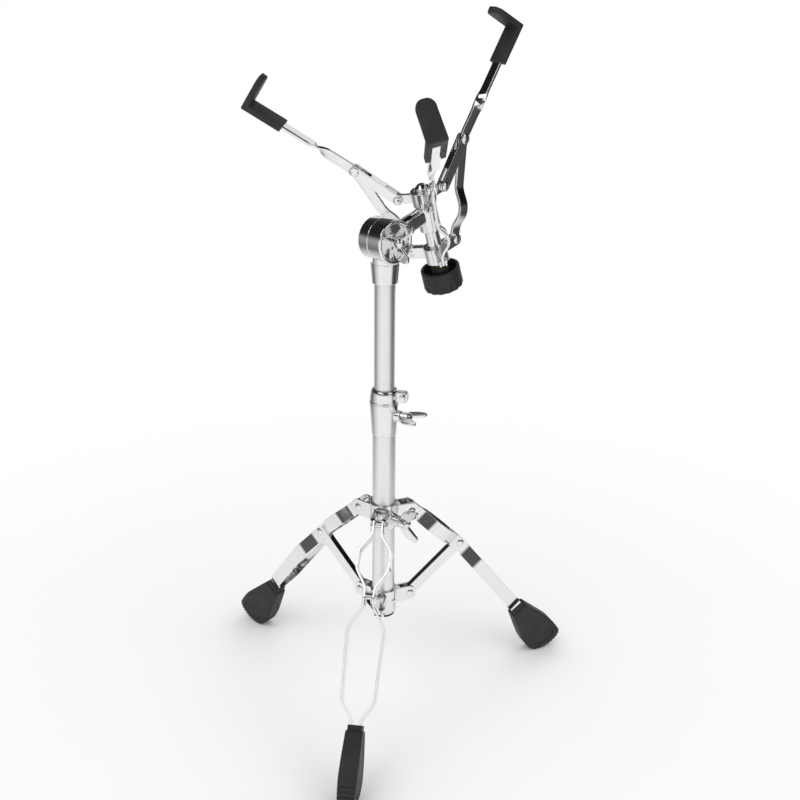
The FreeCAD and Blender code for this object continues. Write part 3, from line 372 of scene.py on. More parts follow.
def rounded_outline(corners, radii, count, steps=9):
    """Closed outline: each corner becomes a parabola between its two sides, then points at even spacing."""
    corners = np.asarray(corners, float)
    before = np.roll(corners, 1, axis=0) - corners
    after = np.roll(corners, -1, axis=0) - corners
    before_size = np.linalg.norm(before, axis=1)
    after_size = np.linalg.norm(after, axis=1)
    cut = np.minimum(np.asarray(radii, float), 0.48 * np.minimum(before_size, after_size))
    start = corners + before * (cut / before_size)[:, None]
    end = corners + after * (cut / after_size)[:, None]
    t = np.linspace(0, 1, steps)[None, :, None]
    bends = (1 - t) ** 2 * start[:, None] + 2 * t * (1 - t) * corners[:, None] + t ** 2 * end[:, None]
    line = bends.reshape(-1, corners.shape[1])
    line = np.vstack([line, line[:1]])
    along = np.concatenate([[0], np.cumsum(np.linalg.norm(np.diff(line, axis=0), axis=1))])
    even = np.linspace(0, along[-1], count, endpoint=False)
    return np.stack([np.interp(even, along, column) for column in line.T], axis=1)


def inward_normals(outline):
    """Unit normals of a closed flat outline, pointing to its inside."""
    tangent = np.roll(outline, -1, axis=0) - np.roll(outline, 1, axis=0)
    tangent /= np.linalg.norm(tangent, axis=1)[:, None]
    turned = np.roll(outline, -1, axis=0)
    area = np.sum(outline[:, 0] * turned[:, 1] - outline[:, 1] * turned[:, 0])
    return np.stack([-tangent[:, 1], tangent[:, 0]], axis=1) * np.sign(area)


def pillow(outline, centre, half_thickness, edge, shares, relief=None, core=None, steps=6):
    """Moulded slab: an outline filled from its centre at a half thickness, with a quarter-round edge.

    A face row is centre + share * (outline moved in by the edge radius - centre), where the outline eases from its
    smooth core at the core's share to its own shape at 1. An edge row at angle a is the outline moved in by
    edge * (1 - sin a), at the half thickness less edge * (1 - cos a).
    """
    inward = inward_normals(outline)
    shares = np.asarray(shares, float)[:, None, None]
    core = outline if core is None else core
    eased = core[None] + (outline - core)[None] * smooth_step((shares - CORE_SHARE) / (1 - CORE_SHARE))
    face = centre + (eased + inward[None] * edge - centre) * shares
    angles = np.linspace(0, math.pi / 2, steps)[1:]
    moved = (edge * (1 - np.sin(angles)))[:, None, None]
    rim = outline[None] + inward[None] * moved
    flat = np.concatenate([face, rim])
    height = half_thickness(flat)
    height[len(face):] -= (edge * (1 - np.cos(angles)))[:, None]
    if relief is not None:
        height[:len(face)] -= relief
    top = np.stack([flat[..., 0], height, flat[..., 1]], axis=-1)
    bottom = top[::-1] * np.array([1.0, -1.0, 1.0])
    return np.concatenate([top, bottom])


def lathe(profile, count, axes, origin):
    """Surface of revolution: a profile of (radius, height) rows turned about the third axis of a frame."""
    profile = np.asarray(profile, float)
    turn = np.linspace(0, 2 * math.pi, count, endpoint=False)
    rings = np.stack([profile[:, :1] * np.cos(turn), profile[:, :1] * np.sin(turn),
                      np.repeat(profile[:, 1:], count, axis=1)], axis=-1)
    return placed(rings, axes, origin)


def smooth_line(corners, cuts, steps=9):
    """Open line through corner points whose inner corners become parabolas between their sides."""
    corners = np.asarray(corners, float)
    before = corners[:-2] - corners[1:-1]
    after = corners[2:] - corners[1:-1]
    cuts = np.asarray(cuts, float)[:, None]
    start = corners[1:-1] + before / np.linalg.norm(before, axis=1)[:, None] * cuts
    end = corners[1:-1] + after / np.linalg.norm(after, axis=1)[:, None] * cuts
    t = np.linspace(0, 1, steps)[None, :, None]
    bends = (1 - t) ** 2 * start[:, None] + 2 * t * (1 - t) * corners[1:-1, None] + t ** 2 * end[:, None]
    return np.vstack([corners[:1], bends.reshape(-1, corners.shape[1]), corners[-1:]])


def even_line(line, spacing):
    """Points at even spacing along an open line, and their distances along it."""
    along = np.concatenate([[0], np.cumsum(np.linalg.norm(np.diff(line, axis=0), axis=1))])
    even = np.linspace(0, along[-1], max(2, int(round(along[-1] / spacing)) + 1))
    return np.stack([np.interp(even, along, column) for column in line.T], axis=1), even


def rounded_sections(half_wide, half_thin, radius, steps=5):
    """Round-cornered rectangles, one row each: corner centre + radius * (cos, sin) over four quarter turns."""
    quarter = np.linspace(0, math.pi / 2, steps)
    angles = np.concatenate([quarter + i * math.pi / 2 for i in range(4)])
    sign_wide = np.repeat([1.0, -1.0, -1.0, 1.0], steps)
    sign_thin = np.repeat([1.0, 1.0, -1.0, -1.0], steps)
    wide = sign_wide * (half_wide - radius)[:, None] + radius[:, None] * np.cos(angles)
    thin = sign_thin * (half_thin - radius)[:, None] + radius[:, None] * np.sin(angles)
    return wide, thin


def smooth_step(share):
    """Eases from 0 to 1 as 3 * share ** 2 - 2 * share ** 3, with the share held between 0 and 1."""
    share = np.clip(share, 0, 1)
    return share * share * (3 - 2 * share)


def skin(name, grids, cap=False, sharp=40):
    """Mesh object from closed-ring grids of (rows, columns, 3) points; rows that meet in a point close by merging."""
    verts = []
    faces = []
    base = 0
    for grid in grids if isinstance(grids, list) else [grids]:
        rows, columns = grid.shape[:2]
        index = np.arange(rows * columns).reshape(rows, columns) + base
        right = np.roll(index, -1, axis=1)
        quads = np.stack([index[:-1], right[:-1], right[1:], index[1:]], axis=-1).reshape(-1, 4)
        verts.append(grid.reshape(-1, 3))
        faces += quads.tolist()
        if cap:
            faces += [index[0, ::-1].tolist(), index[-1].tolist()]
        base += rows * columns
    mesh = bpy.data.meshes.new(name)
    mesh.from_pydata(np.concatenate(verts).tolist(), [], faces)
    work = bmesh.new()
    work.from_mesh(mesh)
    bmesh.ops.remove_doubles(work, verts=work.verts, dist=MERGE_DISTANCE)
    bmesh.ops.dissolve_degenerate(work, edges=work.edges, dist=FLAT_DISTANCE)
    bmesh.ops.recalc_face_normals(work, faces=work.faces)
    work.to_mesh(mesh)
    work.free()
    mesh.polygons.foreach_set("use_smooth", np.ones(len(mesh.polygons), bool))
    mesh.set_sharp_from_angle(angle=math.radians(sharp))
    piece = bpy.data.objects.new(name, mesh)
    bpy.context.scene.collection.objects.link(piece)
    return piece


def settle(piece, body, slot, material, *nodes):
    """Rides a piece on its body in the place of its nodes, with its finish."""
    piece.data.materials.append(material)
    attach(piece, body)
    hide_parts(*nodes)


# Finishes


class NodeTree:
    """A tree of shader nodes, with short calls that add nodes and join them."""

    def __init__(self, tree):
        self.tree = tree

    def node(self, kind, **values):
        made = self.tree.nodes.new(kind)
        for key, value in values.items():
            made.inputs[key.replace("_", " ")].default_value = value
        return made

    def join(self, output, target):
        self.tree.links.new(output, target)


class Finish(NodeTree):
    """A material's node tree, with short calls for the nodes that the finishes share."""

    def __init__(self, name):
        self.material = bpy.data.materials.new(name)
        self.material.use_nodes = True
        super().__init__(self.material.node_tree)
        self.shader = self.tree.nodes["Principled BSDF"]
        self.place = self.node("ShaderNodeTexCoord").outputs["Object"]

    def noise(self, scale, detail, stretch=(1.0, 1.0, 1.0)):
        """Cloud on the part's own coordinates, drawn out along an axis where its stretch is small."""
        spread = self.node("ShaderNodeMapping", Scale=stretch)
        self.join(self.place, spread.inputs["Vector"])
        cloud = self.node("ShaderNodeTexNoise", Scale=scale, Detail=detail)
        self.join(spread.outputs["Vector"], cloud.inputs["Vector"])
        return cloud.outputs["Fac"]

    def span(self, source, low, high):
        """Maps a noise from its middle range to low and high."""
        ramp = self.node("ShaderNodeMapRange", From_Min=NOISE_LOW, From_Max=NOISE_HIGH, To_Min=low, To_Max=high)
        self.join(source, ramp.inputs["Value"])
        return ramp.outputs["Result"]

    def tint(self, source, dark, light):
        """Colours the surface from dark to light over a noise's middle range."""
        ramp = self.node("ShaderNodeValToRGB")
        ramp.color_ramp.elements[0].position = NOISE_LOW
        ramp.color_ramp.elements[1].position = NOISE_HIGH
        ramp.color_ramp.elements[0].color = (*dark, 1.0)
        ramp.color_ramp.elements[1].color = (*light, 1.0)
        self.join(source, ramp.inputs["Fac"])
        self.join(ramp.outputs["Color"], self.shader.inputs["Base Color"])

    def bump(self, source, strength, distance, under=None):
        """Normal raised by a source, on top of the normal under it."""
        ridge = self.node("ShaderNodeBump", Strength=strength, Distance=distance)
        self.join(source, ridge.inputs["Height"])
        if under is not None:
            self.join(under, ridge.inputs["Normal"])
        return ridge.outputs["Normal"]

    def soft_edges(self, radius):
        """Normal that rounds the edges in the shading alone."""
        edge = self.node("ShaderNodeBevel", Radius=radius)
        edge.samples = 6
        return edge.outputs["Normal"]


def scaled(colour, factor):
    """Colour times a factor, held at 1."""
    return tuple(min(1.0, channel * factor) for channel in colour)


def chrome_finish(name, colour, rough, edge, ripple):
    """Plated steel: cloudy polish in the roughness, a faint ripple, and edges that catch the light."""
    finish = Finish(name)
    finish.shader.inputs["Metallic"].default_value = 1.0
    polish = finish.noise(scale=90.0, detail=4.0)
    finish.tint(polish, scaled(colour, 0.96), colour)
    finish.join(finish.span(finish.noise(scale=240.0, detail=5.0), *rough), finish.shader.inputs["Roughness"])
    edges = finish.soft_edges(edge)
    normal = finish.bump(finish.noise(scale=55.0, detail=2.0), strength=ripple, distance=0.0006, under=edges)
    finish.join(normal, finish.shader.inputs["Normal"])
    return finish.material


def tube_finish(name, colour):
    """Drawn tube: satin chrome with fine lines along the column and a soft cloud across it."""
    finish = Finish(name)
    finish.shader.inputs["Metallic"].default_value = 1.0
    lines = finish.noise(scale=900.0, detail=3.0, stretch=(1.0, 1.0, 0.012))
    finish.tint(finish.noise(scale=35.0, detail=3.0), scaled(colour, 0.97), colour)
    finish.join(finish.span(lines, low=0.36, high=0.45), finish.shader.inputs["Roughness"])
    normal = finish.bump(lines, strength=0.03, distance=0.0002, under=finish.soft_edges(0.0006))
    finish.join(normal, finish.shader.inputs["Normal"])
    return finish.material


def rubber_finish(name, colour, rough, grain):
    """Moulded rubber or plastic: fine grain in the bump, uneven dull patches and a dusty tint."""
    finish = Finish(name)
    finish.shader.inputs["Specular IOR Level"].default_value = 0.32
    dust = finish.noise(scale=45.0, detail=5.0)
    finish.tint(dust, scaled(colour, 0.82), scaled(colour, 1.18))
    finish.join(finish.span(finish.noise(scale=130.0, detail=4.0), *rough), finish.shader.inputs["Roughness"])
    normal = finish.bump(finish.noise(scale=2600.0, detail=2.0), strength=grain, distance=0.0002)
    finish.join(normal, finish.shader.inputs["Normal"])
    return finish.material


def plain_finish(name, colour, metallic, rough, scale):
    """Small turned or pressed piece: a mottled tint and an uneven polish."""
    finish = Finish(name)
    finish.shader.inputs["Metallic"].default_value = metallic
    finish.tint(finish.noise(scale, detail=4.0), scaled(colour, 0.88), scaled(colour, 1.08))
    finish.join(finish.span(finish.noise(2 * scale, detail=3.0), *rough), finish.shader.inputs["Roughness"])
    normal = finish.bump(finish.noise(3 * scale, detail=2.0), strength=0.1, distance=0.0003)
    finish.join(normal, finish.shader.inputs["Normal"])
    return finish.material


finishes = {}


class STAND_OT_finishes(bpy.types.Operator):
    """Makes the finishes and gives every solid of the stand its own."""
    bl_idname = "stand.finishes"
    bl_label = "Finishes"

    def execute(self, context):
        colours = context.scene.stand_colours
        chrome = tuple(colours.chrome)
        plastic = tuple(colours.plastic)
        finishes["chrome"] = chrome_finish("bright_chrome", chrome, rough=(0.05, 0.11), edge=0.0006, ripple=0.05)
        finishes["cast"] = chrome_finish("plated_casting", chrome, rough=(0.06, 0.15), edge=0.0010, ripple=0.12)
        finishes["tube_chrome"] = tube_finish("satin_tube_chrome", tuple(colours.tube))
        finishes["rubber"] = rubber_finish("moulded_rubber", tuple(colours.rubber), rough=(0.48, 0.66), grain=0.06)
        finishes["black_plastic"] = rubber_finish("black_plastic", plastic, rough=(0.40, 0.54), grain=0.12)
        finishes["nylon"] = rubber_finish("black_nylon", plastic, rough=(0.38, 0.50), grain=0.08)
        finishes["brass"] = plain_finish("turned_brass", tuple(colours.brass), metallic=1.0, rough=(0.18, 0.32),
                                         scale=160.0)
        finishes["friction_pad"] = plain_finish("pressed_fibre", tuple(colours.fibre), metallic=0.0, rough=(0.7, 0.9),
                                                scale=700.0)
        cast_nodes = ("tilter_base", "tilter_head", "height_clamp", "clamp_band", "upper_hub", "lower_hub",
                      "upper_collar", "rod_cap")
        for part in frame["record"]["subparts"]:
            node = frame["nodes"][part["node"]]
            key = "cast" if part["node"] in cast_nodes else part["material_slot"]
            node.data.materials.clear()
            node.data.materials.append(finishes[key])
        return {"FINISHED"}


# Pieces


class STAND_OT_rubber_boots(bpy.types.Operator):
    """Moulds the three rubber boots: a tapered slab with a serrated sole, a line above it and a collar on top."""
    bl_idname = "stand.rubber_boots"
    bl_label = "Rubber boots"

    def execute(self, context):
        boot = context.scene.stand_boots
        mouth = np.array([boot.mouth_radius, boot.mouth_height])
        knee = np.array([joint_place("right_knee")[:2] @ leg_axes("right")[0][:2], joint_place("right_knee")[2]])
        shin = unit(mouth - knee + np.array([0.0, BOOT_SHIN_RISE]))
        shapes = boot_shape(mouth, shin, boot), collar_shape(mouth, shin, boot)
        for leg in LEGS:
            piece = skin(leg + "_rubber_boot", [placed(shape, leg_axes(leg)) for shape in shapes], sharp=50)
            settle(piece, leg + "_leg", "rubber", finishes["rubber"], leg + "_boot")
        return {"FINISHED"}


def boot_shape(mouth, shin, boot):
    """Boot in the leg's plane: a pillow on an outline from the mouth round the sole, with the tread cut into it.

    The thickness follows the distance from the mouth along the shin. The line above the sole is a groove of
    depth * exp(-((share - line's share) / width) ** 2), on the side of the face that looks down the shin.
    """
    side = np.array([shin[1], -shin[0]]) * boot.mouth_half_width
    sole = np.array(BOOT_CORNERS) + np.array([boot.mouth_radius, 0.0])
    corners = np.vstack([mouth + side, sole, mouth - side])
    outline = rounded_outline(corners, BOOT_CUTS, BOOT_POINTS)
    along = np.concatenate([[0], np.cumsum(np.linalg.norm(np.diff(outline, axis=0), axis=1))])
    tread = serration(outline, along, corners, boot)
    grooved = outline + inward_normals(outline) * tread[:, None]
    depth = boot.mouth_height / -shin[1]

    def half_thickness(points):
        wide = boot.widest_thickness
        thick = np.array([boot.mouth_thickness, BOOT_UPPER_SHARE * wide, wide, BOOT_LOWER_SHARE * wide,
                          boot.sole_thickness])
        return np.interp((points - mouth) @ shin, np.array(BOOT_DEPTH_SHARES) * depth, thick) / 2

    centre = corners.mean(axis=0) + np.array([0.0, BOOT_CENTRE_RISE])
    # Rows lie closer together about the line
    shares = np.concatenate([np.linspace(0, 0.58, 6), np.linspace(0.62, 0.78, 9), np.linspace(0.82, 1, 7)])
    facing = shin @ (outline - centre).T / np.linalg.norm(outline - centre, axis=1)
    low = smooth_step((facing - BOOT_LINE_START) / BOOT_LINE_SPAN)
    line = np.exp(-((shares - BOOT_LINE_SHARE) / BOOT_LINE_WIDTH_SHARE) ** 2)
    relief = boot.line_depth * line[:, None] * low[None]
    return pillow(grooved, centre, half_thickness, boot.edge, shares, relief, outline)


def serration(outline, along, corners, boot):
    """Depth of the tread along the outline: V grooves, depth * (1 - |sin|) ** 1.5, from the heel to the toe."""
    start = along[np.argmin(np.linalg.norm(outline - corners[BOOT_HEEL], axis=1))]
    end = along[np.argmin(np.linalg.norm(outline - corners[BOOT_TOE], axis=1))]
    inside = smooth_step((along - start) / TREAD_HEEL_EASE) * smooth_step((end - along) / TREAD_TOE_EASE)
    wave = 1 - np.abs(np.sin(math.pi * (along - start) / boot.tread_pitch))
    return boot.tread_depth * inside * wave ** 1.5


def collar_shape(mouth, shin, boot):
    """Collar that grips the two strips at the mouth: a pillow on a rectangle that stands up along the shin."""
    across = np.array([shin[1], -shin[0]])
    half = boot.collar_width / 2
    top = -boot.collar_height
    box = np.array([[-half, top], [half, top], [half, BOOT_COLLAR_DEPTH], [-half, BOOT_COLLAR_DEPTH]])
    corners = mouth + box[:, :1] * across + box[:, 1:] * shin
    outline = rounded_outline(corners, [BOOT_COLLAR_CUT] * 4, BOOT_COLLAR_POINTS)
    middle = corners.mean(axis=0)

    def half_thickness(points):
        return np.full(points.shape[:-1], boot.collar_thickness / 2)

    return pillow(outline, middle, half_thickness, BOOT_COLLAR_EDGE, np.linspace(0, 1, 6))


class STAND_OT_arms(bpy.types.Operator):
    """Sweeps the three arm strips: a flat section from the hub past the rivet, a quarter twist, then to the pad."""
    bl_idname = "stand.arms"
    bl_label = "Arm strips"

    def execute(self, context):
        arm = context.scene.stand_arms
        for name in ARMS:
            shape = arm_sweep(arm, name)
            piece = skin(name + "_arm_blade", shape, cap=True, sharp=35)
            settle(piece, name + "_arm", "chrome", finishes["chrome"], name + "_arm_strip")
        return {"FINISHED"}


def arm_points(arm, name):
    """Frame of an arm, with its pivot as the origin, and in it the rivet, the pad's corner and two directions.

    The directions are along the arm's outer half and square to it, in the arm's plane.
    """
    axes = arm_axes(name)
    pivot = joint_place(name + "_arm_swing")
    low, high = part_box(name + "_arm_rivet")
    rivet = axes @ (np.array((low + high) / 2) - pivot)
    reach = np.array([math.cos(arm.slope), 0.0, math.sin(arm.slope)])
    finger = np.array([-math.sin(arm.slope), 0.0, math.cos(arm.slope)])
    rivet[1] = 0.0
    return axes, pivot, rivet, rivet + reach * arm.reach, reach, finger


def arm_sweep(arm, name):
    """Rounded rectangles along the arm's line, which steps sideways above the hub and straightens at the rivet.

    Past the rivet the section turns by a quarter about the line, eased at both ends. The hub end is a half circle.
    """
    axes, pivot, rivet, corner, _, _ = arm_points(arm, name)
    sideways = np.array([0.0, 1.0, 0.0])
    first = unit(rivet)
    half = arm.width / 2
    steps = np.array(ARM_JOG_SHARES)[:, None] * rivet
    steps[1:3] += sideways * arm.jog * ARM_JOG_SIDES[name]
    line = smooth_line(np.vstack([-first * half, steps, rivet, corner]), ARM_JOG_CUTS, 13)
    points, along = even_line(line, ARM_SPACING)
    tangent = np.gradient(points, axis=0)
    tangent /= np.linalg.norm(tangent, axis=1)[:, None]
    normal = np.cross(tangent, sideways)
    normal /= np.linalg.norm(normal, axis=1)[:, None]
    flat = np.cross(normal, tangent)
    turn_start = along[np.argmin(np.linalg.norm(points - rivet, axis=1))] + arm.twist_start
    angle = math.pi / 2 * smooth_step((along - turn_start) / arm.twist_length)[:, None]
    wide_way = normal * np.cos(angle) + flat * np.sin(angle)
    thin_way = flat * np.cos(angle) - normal * np.sin(angle)
    bow = np.clip(1 - along / half, 0, 1)
    half_wide = half * np.sqrt(np.maximum(1 - bow ** 2, 0.01))
    half_thin = np.full_like(half_wide, arm.thickness / 2)
    radius = np.minimum(ARM_EDGE, half_wide * 0.9)
    wide, thin = rounded_sections(half_wide, half_thin, radius)
    rings = points[:, None] + wide_way[:, None] * wide[..., None] + thin_way[:, None] * thin[..., None]
    return placed(rings, axes, pivot)


class STAND_OT_arm_pads(bpy.types.Operator):
    """Moulds the three rubber pads: an L with a round finger tip and an open slot under its sleeve."""
    bl_idname = "stand.arm_pads"
    bl_label = "Arm pads"

    def execute(self, context):
        arm = context.scene.stand_arms
        for name in ARMS:
            axes, pivot, _, corner, reach, finger = arm_points(arm, name)
            rings = pad_rings(arm)
            local = (corner + rings[..., :1] * reach + rings[..., 2:] * finger
                     + rings[..., 1:2] * np.array([0.0, 1.0, 0.0]))
            piece = skin(name + "_rubber_pad", placed(local, axes, pivot), cap=True, sharp=40)
            settle(piece, name + "_arm", "rubber", finishes["rubber"], name + "_arm_pad")
        return {"FINISHED"}


def pad_rings(arm):
    """Sections of the pad from its mouth to its tip, as (along the sleeve, sideways, square to the sleeve) points.

    Each station joins a point of the outer line to one of the inner line: along the sleeve, then round the outer
    corner about the inner one, then up the finger, which leans in. The width narrows to the tip and ends in a half
    circle. The slot is a notch in the outer side, cut past the strip's face, so that the strip shows in it. Its depth
    falls to nothing before the corner.
    """
    half = arm.pad_thickness / 2
    thin = arm.finger_thickness / 2
    out = np.array([math.cos(arm.finger_lean), math.sin(arm.finger_lean)])
    rise_way = np.array([-math.sin(arm.finger_lean), math.cos(arm.finger_lean)])
    bend_rise = (half + thin * math.sin(arm.finger_lean)) / math.cos(arm.finger_lean)
    outer_corner = out * thin - rise_way * bend_rise
    inner_corner = -outer_corner
    sleeve = np.linspace(thin - arm.sleeve_length, inner_corner[0], 30)
    bend = smooth_line([[inner_corner[0], -half], outer_corner, out * thin + rise_way * bend_rise], [PAD_CORNER], 9)
    bend = even_line(bend, PAD_SPACING)[0][1:]
    tip_radius = arm.pad_tip_width / 2
    tip_centre = arm.finger_length - tip_radius
    tip_turn = np.linspace(0, PAD_TIP_TURN, 18)[1:]
    rise = np.concatenate([np.linspace(bend_rise, tip_centre, 20)[1:], tip_centre + tip_radius * np.sin(tip_turn)])
    level = np.ones_like(sleeve) * half
    outer = np.concatenate([np.stack([sleeve, -level], axis=1), bend, out * thin + rise[:, None] * rise_way])
    inner = np.concatenate([np.stack([sleeve, level], axis=1), np.repeat(inner_corner[None], len(bend), axis=0),
                            -out * thin + rise[:, None] * rise_way])
    crown = 1 - (np.maximum(rise - arm.finger_length + PAD_CROWN, 0) / (1.1 * PAD_CROWN)) ** 2
    before = len(sleeve) + len(bend)
    squeeze = np.concatenate([np.ones(before), np.sqrt(np.clip(crown, 0.05, 1))])[:, None]
    middle = (outer + inner) / 2
    outer = middle + (outer - middle) * squeeze
    inner = middle + (inner - middle) * squeeze
    up_share = np.concatenate([np.zeros(before), rise]) / arm.finger_length
    width = arm.pad_width + (arm.pad_tip_width - arm.pad_width) * smooth_step(up_share / PAD_TAPER_SHARE)
    half_wide = width / 2 * np.concatenate([np.ones(len(width) - len(tip_turn)), np.cos(tip_turn)])
    across = np.linalg.norm(inner - outer, axis=1)
    edge = np.minimum(arm.edge, 0.45 * np.minimum(half_wide, across))
    along = np.concatenate([sleeve, np.zeros(len(width) - len(sleeve))])
    notch = (half - arm.thickness / 3) * smooth_step((-PAD_SLOT_WALL - along) / PAD_SLOT_EASE)
    return notched_sections(outer, inner, half_wide, across, edge, notch, arm.slot_width / 2)


def notched_sections(outer, inner, half_wide, across, edge, notch, slot_half, steps=5):
    """Round-cornered rectangles with a notch in their outer side: sideways by distance from the outer line."""
    quarter = np.linspace(0, math.pi / 2, steps)
    fall = edge[:, None]
    wide = half_wide[:, None]
    deep = across[:, None]
    slot = np.minimum(slot_half, 0.8 * half_wide)[:, None]
    low_left = (-wide + fall - fall * np.sin(quarter), fall - fall * np.cos(quarter))
    high_left = (-wide + fall - fall * np.cos(quarter), deep - fall + fall * np.sin(quarter))
    high_right = (wide - fall + fall * np.sin(quarter), deep - fall + fall * np.cos(quarter))
    low_right = (wide - fall + fall * np.cos(quarter), fall - fall * np.sin(quarter))
    slot_in = (np.hstack([slot, slot]), np.hstack([np.zeros_like(slot), notch[:, None]]))
    slot_out = (np.hstack([-slot, -slot]), np.hstack([notch[:, None], np.zeros_like(slot)]))
    sides = (low_left, high_left, high_right, low_right, slot_in, slot_out)
    sideways = np.hstack([side[0] for side in sides])
    depth = np.hstack([side[1] for side in sides])
    way = (inner - outer) / deep
    flat = outer[:, None] + way[:, None] * depth[..., None]
    return np.stack([flat[..., 0], sideways, flat[..., 1]], axis=-1)


class STAND_OT_knob(bpy.types.Operator):
    """Turns the cup knob under the basket and scallops its lower edge."""
    bl_idname = "stand.knob"
    bl_label = "Basket knob"

    def execute(self, context):
        upward = joint_axis("knob_turn")
        outward = arm_axes("right")[0]
        axes = np.stack([outward, np.cross(upward, outward), upward])
        shape = placed(knob_shape(context.scene.stand_knob), axes, joint_place("knob_turn"))
        piece = skin("basket_cup_knob", shape, sharp=38)
        settle(piece, "knob", "black_plastic", finishes["black_plastic"], "basket_knob")
        return {"FINISHED"}


def knob_shape(knob):
    """Cup with a boss in it, turned from its profile, which starts under the foot and ends in the bore.

    A scallop draws the outer wall in by depth * cos(scallops * turn) ** 0.8 where that cosine is above 0, eased to
    nothing further up the wall and inside it.
    """
    inner = knob.radius - knob.wall
    foot = -knob.height
    floor = foot + KNOB_FLOOR
    arc = np.linspace(0, math.pi / 2, 7)
    under = [[radius, foot] for radius in KNOB_UNDER_RADII]
    foot_round = np.stack([knob.radius - KNOB_FOOT_ROUND * (1 - np.sin(arc)),
                           foot + KNOB_FOOT_ROUND * (1 - np.cos(arc))], axis=1)
    wall = np.stack([np.full(KNOB_WALL_ROWS, knob.radius),
                     np.linspace(foot + KNOB_WALL_FOOT, -KNOB_WALL_RIM, KNOB_WALL_ROWS)], axis=1)
    rim_round = np.stack([knob.radius - KNOB_RIM_ROUND * (1 - np.cos(arc)),
                          -KNOB_RIM_ROUND * (1 - np.sin(arc))], axis=1)
    cup = [[inner + KNOB_CHAMFER, 0.0], [inner, -KNOB_CHAMFER], [inner, floor + KNOB_FILLET],
           [inner - 0.3 * KNOB_FILLET, floor + 0.3 * KNOB_FILLET], [inner - KNOB_FILLET, floor]]
    boss = [[KNOB_BOSS + KNOB_BOSS_FILLET, floor],
            [KNOB_BOSS + 0.2 * KNOB_BOSS_FILLET, floor + 0.2 * KNOB_BOSS_FILLET],
            [KNOB_BOSS, floor + KNOB_BOSS_FILLET], [KNOB_BOSS, -KNOB_CHAMFER], [KNOB_BOSS - KNOB_CHAMFER, 0.0],
            [KNOB_BORE, 0.0], [KNOB_BORE, floor], [0.0, floor]]
    profile = np.vstack([under, foot_round, wall, rim_round, cup, boss])
    count = KNOB_SCALLOP_POINTS * knob.scallops
    turn = np.linspace(0, 2 * math.pi, count, endpoint=False)
    rings = lathe(profile, count, np.eye(3), np.zeros(3))
    outside = smooth_step((profile[:, 0] - inner - KNOB_SCALLOP_START) / KNOB_SCALLOP_WALL)
    lower = smooth_step((foot + KNOB_SCALLOP_RISE - profile[:, 1]) / KNOB_SCALLOP_EASE)
    wave = np.clip(np.cos(turn * knob.scallops), 0, 1) ** 0.8
    bite = 1 - knob.scallop_depth / knob.radius * (outside * lower)[:, None] * wave[None]
    rings[..., :2] *= bite[..., None]
    return rings


class STAND_OT_clamp_band(bpy.types.Operator):
    """Turns the split band on the height clamp: a lip, a dome that closes on the tube, and two lugs."""
    bl_idname = "stand.clamp_band"
    bl_label = "Clamp band"

    def execute(self, context):
        band = context.scene.stand_band
        low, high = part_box("clamp_band")
        bottom, top = low[2], high[2]
        ring = lathe(band_profile(band, bottom, top), BAND_POINTS, np.eye(3), np.zeros(3))
        lug = lug_shape(band, bottom, top)
        outward = np.array([math.cos(band.lug_turn), math.sin(band.lug_turn), 0.0])
        axes = np.stack([outward, np.cross(UP, outward), UP])
        aside = np.array([0.0, (band.slit + band.lug_thickness) / 2, 0.0])
        lugs = [placed(lug + way * aside, axes) for way in (1.0, -1.0)]
        piece = skin("clamp_band_ring", [ring] + lugs, sharp=38)
        settle(piece, "base", "chrome", finishes["cast"], "clamp_band")
        return {"FINISHED"}


def band_profile(band, bottom, top):
    """Profile of the band as (radius, height) rows: the lip, then the dome, then down the bore.

    The dome's radius is crown + (waist - crown) * cos(angle) ** 0.8, and its height goes by sin(angle).
    """
    turn = np.linspace(0, math.pi / 2, 15)
    waist = band.foot - BAND_EDGE
    start = bottom + band.lip
    lip = np.array([[band.bore, bottom], [waist, bottom], [band.foot, bottom + BAND_EDGE],
                    [band.foot, start - BAND_LIP_EDGE],
                    [band.foot - BAND_LIP_EDGE / 3, start - BAND_LIP_EDGE / 3]])
    dome = np.stack([band.crown + (waist - band.crown) * np.cos(turn) ** 0.8,
                     start + (top - start) * np.sin(turn)], axis=1)
    return np.vstack([lip, dome, [[band.bore, top], [band.bore, bottom]]])


def lug_shape(band, bottom, top):
    """Lug of the band: a pillow on an outline with round outer corners, in the plane of the column's axis."""
    root = band.bore + LUG_ROOT
    low = bottom + LUG_LOW
    high = top - LUG_HIGH
    corners = np.array([[root, low], [band.lug_reach, low], [band.lug_reach, high], [root, high]])
    outline = rounded_outline(corners, LUG_CUTS, LUG_POINTS)

    def half_thickness(points):
        return np.full(points.shape[:-1], band.lug_thickness / 2)

    return pillow(outline, corners.mean(axis=0), half_thickness, LUG_EDGE, np.linspace(0, 1, 6))


